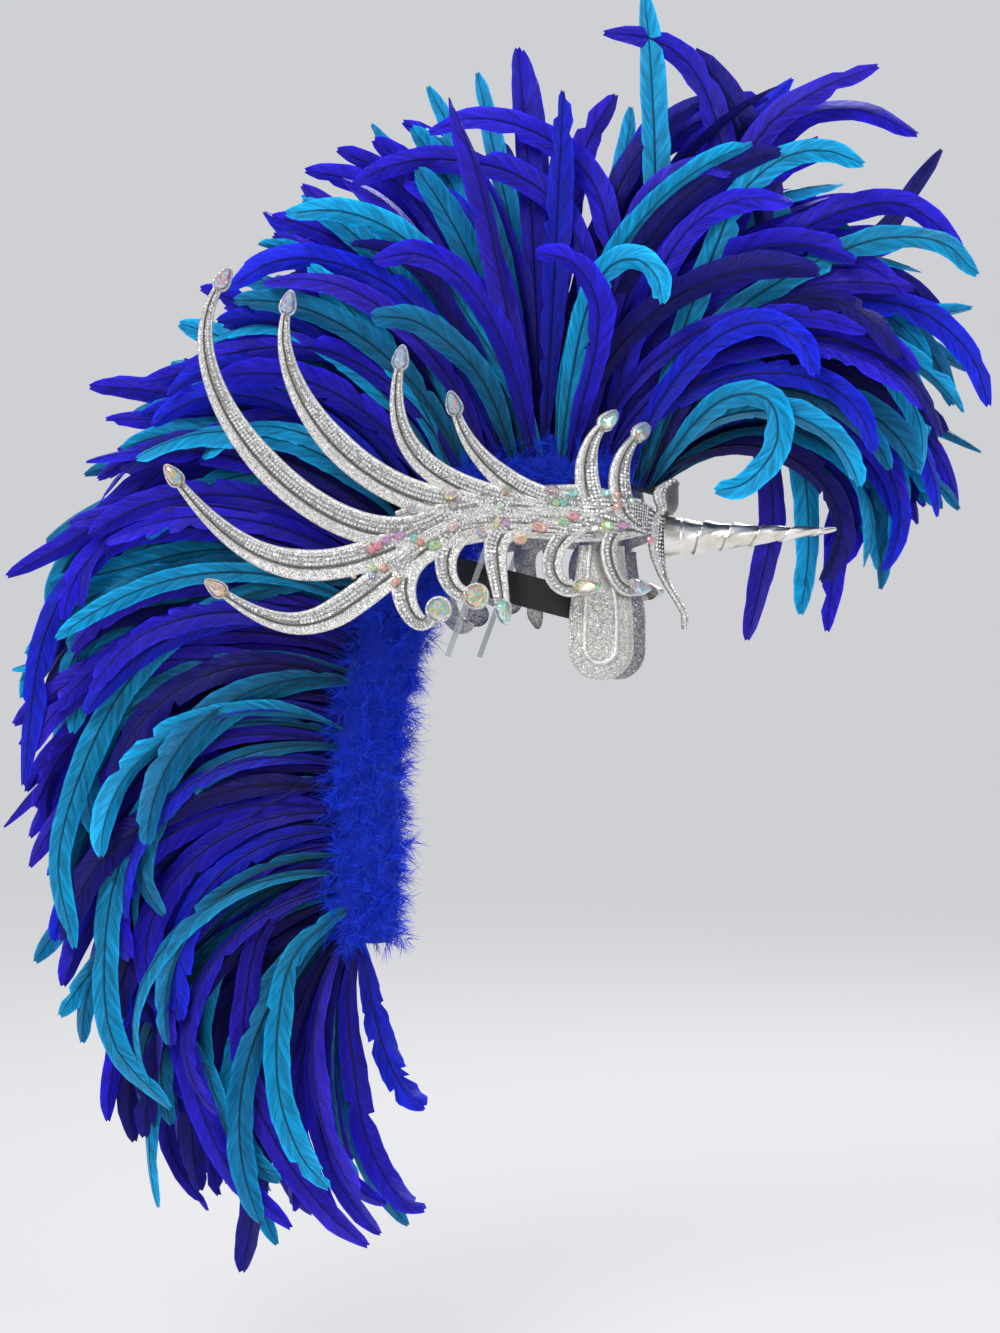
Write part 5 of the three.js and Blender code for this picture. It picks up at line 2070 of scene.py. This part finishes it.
@dataclass(frozen=True)
class Strap:
    """Sizes of the head band: an oval loop tilted down to the front."""

    long: float = 0.103
    wide: float = 0.081
    wall: float = 0.003
    height: float = 0.028
    tilt: float = math.radians(14.5)
    back: float = 0.004
    drop: float = 0.004


@dataclass
class TempleTab:
    """Tongue of glitter foam with a raised hairpin rib, which hangs beside the temple."""

    side: Side
    palette: Palette
    strap: Strap = Strap()
    shell: Shell = Shell()
    middle: float = 0.036
    half: float = 0.027
    top: float = 0.042
    low: float = -0.075
    thick: float = 0.004
    rib: float = 0.0045
    rib_height: float = 0.0026
    rib_span: float = 0.031
    rib_foot: float = 0.013
    follows_down_to: float = -0.028
    under_plate: float = 0.0105
    gap: float = 0.0006

    def aside(self, x: Array, up: Array) -> Array:
        """Distance of the tab's inner face from the middle plane.

        Args:
            x: Places forward.
            up: Heights.

        Returns:
            The distances.
        """
        strap, shell = self.strap, self.shell
        forward = x + strap.back
        edge = -strap.drop - forward * math.tan(strap.tilt) + strap.height / 2 / math.cos(strap.tilt)
        level = np.maximum(np.minimum(up, edge), self.follows_down_to)
        along = forward * math.cos(strap.tilt) - (level + strap.drop) * math.sin(strap.tilt)
        outside = strap.wide * np.sqrt(np.maximum(0, 1 - (along / strap.long) ** 2)) + self.gap
        round_wall = shell.wide * np.sqrt(np.maximum(0, 1 - ((x + shell.back) / shell.wide) ** 2))
        wall = round_wall + shell.skirt_lean * np.maximum(0, shell.skirt - up)
        under = np.minimum(wall - self.under_plate, outside)
        return outside + (under - outside) * smoothstep(0, 0.006, up - edge)

    def build(self) -> None:
        """Makes the tab."""
        columns, straight_rows, foot_rows = 61, 80, 40
        across = np.linspace(-1, 1, columns)
        foot = self.low + self.half
        bow = np.linspace(0, np.pi / 2 * 0.985, foot_rows)
        up = np.concatenate([
            np.linspace(self.top, foot, straight_rows, endpoint=False),
            foot - self.half * np.sin(bow),
        ])[:, None]
        draw = 1 - 0.3 * smoothstep(0.25, 1.0, (up - foot) / (self.top - foot))
        wide = self.half * np.sqrt(np.clip(1 - (np.minimum(up - foot, 0) / self.half) ** 2, 0, 1)) * draw
        x = self.middle + across[None] * wide
        z = up + 0 * x
        bend = self.low + self.rib_foot + self.rib_span / 2
        away = np.hypot(x - self.middle, np.minimum(0, z - bend))
        radius = (self.rib_span - self.rib) / 2 * draw
        ridge = 1 - smoothstep(0.35, 1.0, np.abs(away - radius) / (self.rib / 2))
        edge = smoothstep(0.86, 1.0, np.abs(across))[None] + 0 * x
        thick = self.thick * (1 - 0.45 * edge) + self.rib_height * ridge
        face = self.aside(x, z)
        outer = np.stack([x, self.side.value * (face + thick * 1.05), z], -1)
        inner = np.stack([x, self.side.value * (face + 0.0001), z], -1)[:, ::-1]
        ring = np.concatenate([outer, inner], axis=1)
        # Painted highlight on the rib and the edges, which are brighter than the face; the inner face is
        # darker.
        bright = np.concatenate([0.9 + 0.6 * ridge + 0.3 * edge, np.full(x.shape, 0.8)], axis=1)[..., None]
        if self.side is Side.RIGHT:
            ring, bright = ring[:, ::-1], bright[:, ::-1]
        surface = Surface()
        surface.skin(ring, np.broadcast_to(bright, ring.shape))
        word = self.side.word
        show(surface, f"tab_{word}", self.palette.glitter, "glitter_foam", f"temple_tab_{word}")


@dataclass
class Band:
    """Black elastic band round the back of the head, with its ends behind the tabs."""

    palette: Palette
    strap: Strap = Strap()
    end: float = 64.0
    section: tuple[tuple[float, float], ...] = (
        (0, -0.5), (0.3, -0.5), (0.85, -0.49), (1, -0.46), (1, 0), (1, 0.46), (0.85, 0.49), (0.3, 0.5),
        (0, 0.5), (0, 0),
    )

    def build(self) -> None:
        """Makes the band."""
        strap = self.strap
        turn = np.radians(np.linspace(self.end, 360 - self.end, 140))[:, None]
        section = np.array(self.section)
        grow = (section[:, 0] - 1) * strap.wall
        x = (strap.long + grow) * np.cos(turn)
        y = (strap.wide + grow) * np.sin(turn)
        z = section[:, 1] * strap.height + 0 * x
        forward = x * math.cos(strap.tilt) + z * math.sin(strap.tilt) - strap.back
        up = z * math.cos(strap.tilt) - x * math.sin(strap.tilt) - strap.drop
        ring = np.stack([forward, y, up], -1)
        outer = ring[:, 4]
        run = np.concatenate([[0], np.cumsum(np.linalg.norm(np.diff(outer, axis=0), axis=1))])
        surface = Surface()
        surface.skin(ring, places=np.stack(np.broadcast_arrays(run[:, None], z), -1))
        show(surface, "band", self.palette.band, "band_fabric", "head_band")


@dataclass
class OwnSolids:
    """Pieces that keep the frame's own shape and only take a finish."""

    palette: Palette

    def build(self) -> None:
        """Dresses the hidden rib and the clear stays."""
        finishes = {
            "spine_rib": self.palette.hidden,
            "clear_stay_right": self.palette.clear,
            "clear_stay_left": self.palette.clear,
        }
        for name, finish in finishes.items():
            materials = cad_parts[name].data.materials
            materials.clear()
            materials.append(finish)
            LOG.info("%s: its own solid", name)


@dataclass(frozen=True)
class Lamp:
    """A soft square light: where it stands, its power in watts and its side in metres."""

    name: str
    place: tuple[float, float, float]
    power: float
    size: float


@dataclass
class Studio:
    """Pale floor, soft lights and the camera at the photo's place."""

    floor: float = -0.72
    floor_radius: float = 40.0
    paint: tuple[float, float, float] = (0.30, 0.30, 0.305)
    paint_glow: tuple[float, float, float] = (0.981, 0.986, 1.0)
    paint_glow_strength: float = 0.516
    sky: tuple[float, float, float] = (0.82, 0.86, 0.92)
    sky_strength: float = 0.42
    wall: tuple[float, float, float] = (0.62, 0.63, 0.65)
    aim: tuple[float, float, float] = (-0.063, 0.0, -0.063)
    camera: tuple[float, float, float] = (0.271, -2.377, -0.063)
    lens: float = 72.0
    sensor: float = 36.0
    lamps: tuple[Lamp, ...] = (
        Lamp("key", (-1.1, -2.4, 2.2), 75, 1.4),
        Lamp("fill", (2.0, -2.0, 0.7), 22, 1.6),
        Lamp("rim", (0.5, 2.0, 2.0), 55, 1.4),
    )

    def aimed(self, thing: bpy.types.Object, place: Sequence[float]) -> None:
        """Adds a lamp or a camera to the scene, turned to the headdress.

        Args:
            thing: The lamp or camera.
            place: Where it stands.
        """
        thing.location = place
        way = Vector(np.array(self.aim) - np.array(place))
        thing.rotation_euler = way.to_track_quat("-Z", "Y").to_euler()
        bpy.context.scene.collection.objects.link(thing)

    def light(self, lamp: Lamp) -> None:
        """Adds a light that looks at the headdress.

        Args:
            lamp: Its place and power.
        """
        data = bpy.data.lights.new(lamp.name, "AREA")
        data.energy = lamp.power
        data.size = lamp.size
        made = bpy.data.objects.new(lamp.name, data)
        self.aimed(made, lamp.place)

    def ground(self) -> None:
        """Adds the floor, which glows as bright as the wall far away."""
        surface = Surface()
        sides = 64
        edge = np.column_stack([disc(self.floor_radius, sides), np.full(sides, self.floor)])
        surface.add(edge, np.arange(sides)[None])
        paint = Shader("floor_paint")
        paint.set(
            Base_Color=rgba(self.paint), Roughness=0.8, Specular_IOR_Level=0.1,
            Emission_Color=rgba(self.paint_glow), Emission_Strength=self.paint_glow_strength,
        )
        surface.make("floor", paint.material)

    def surroundings(self) -> None:
        """Lights the scene with a soft sky, which the camera sees as an even wall."""
        world = bpy.data.worlds.new("sky")
        world.use_nodes = True
        nodes, links = world.node_tree.nodes, world.node_tree.links
        glow = nodes["Background"]
        glow.inputs["Color"].default_value = rgba(self.sky)
        glow.inputs["Strength"].default_value = self.sky_strength
        wall = nodes.new("ShaderNodeBackground")
        wall.inputs["Color"].default_value = rgba(self.wall)
        seen = nodes.new("ShaderNodeLightPath")
        both = nodes.new("ShaderNodeMixShader")
        links.new(seen.outputs["Is Camera Ray"], both.inputs[0])
        links.new(glow.outputs[0], both.inputs[1])
        links.new(wall.outputs[0], both.inputs[2])
        links.new(both.outputs[0], nodes["World Output"].inputs[0])
        bpy.context.scene.world = world

    def build(self) -> None:
        """Makes the stage."""
        self.ground()
        self.surroundings()
        for lamp in self.lamps:
            self.light(lamp)
        eye = bpy.data.cameras.new("camera")
        eye.lens = self.lens
        eye.sensor_width = self.sensor
        camera = bpy.data.objects.new("camera", eye)
        self.aimed(camera, self.camera)
        bpy.context.scene.camera = camera
        bpy.context.scene.view_settings.view_transform = "Standard"


def main() -> None:
    """Dresses the headdress and sets the stage."""
    logging.basicConfig(level=logging.INFO, format="%(name)s: %(message)s")
    palette = Palette.mixed()
    spine = Spine()
    Crest(spine).build()
    Boa(spine).build()
    for side in Side:
        PlateDress(side, palette).build()
        TempleTab(side, palette).build()
    Brow(palette).build()
    Horn(palette).build()
    Band(palette).build()
    OwnSolids(palette).build()
    Studio().build()


if __name__ == "__main__":
    main()
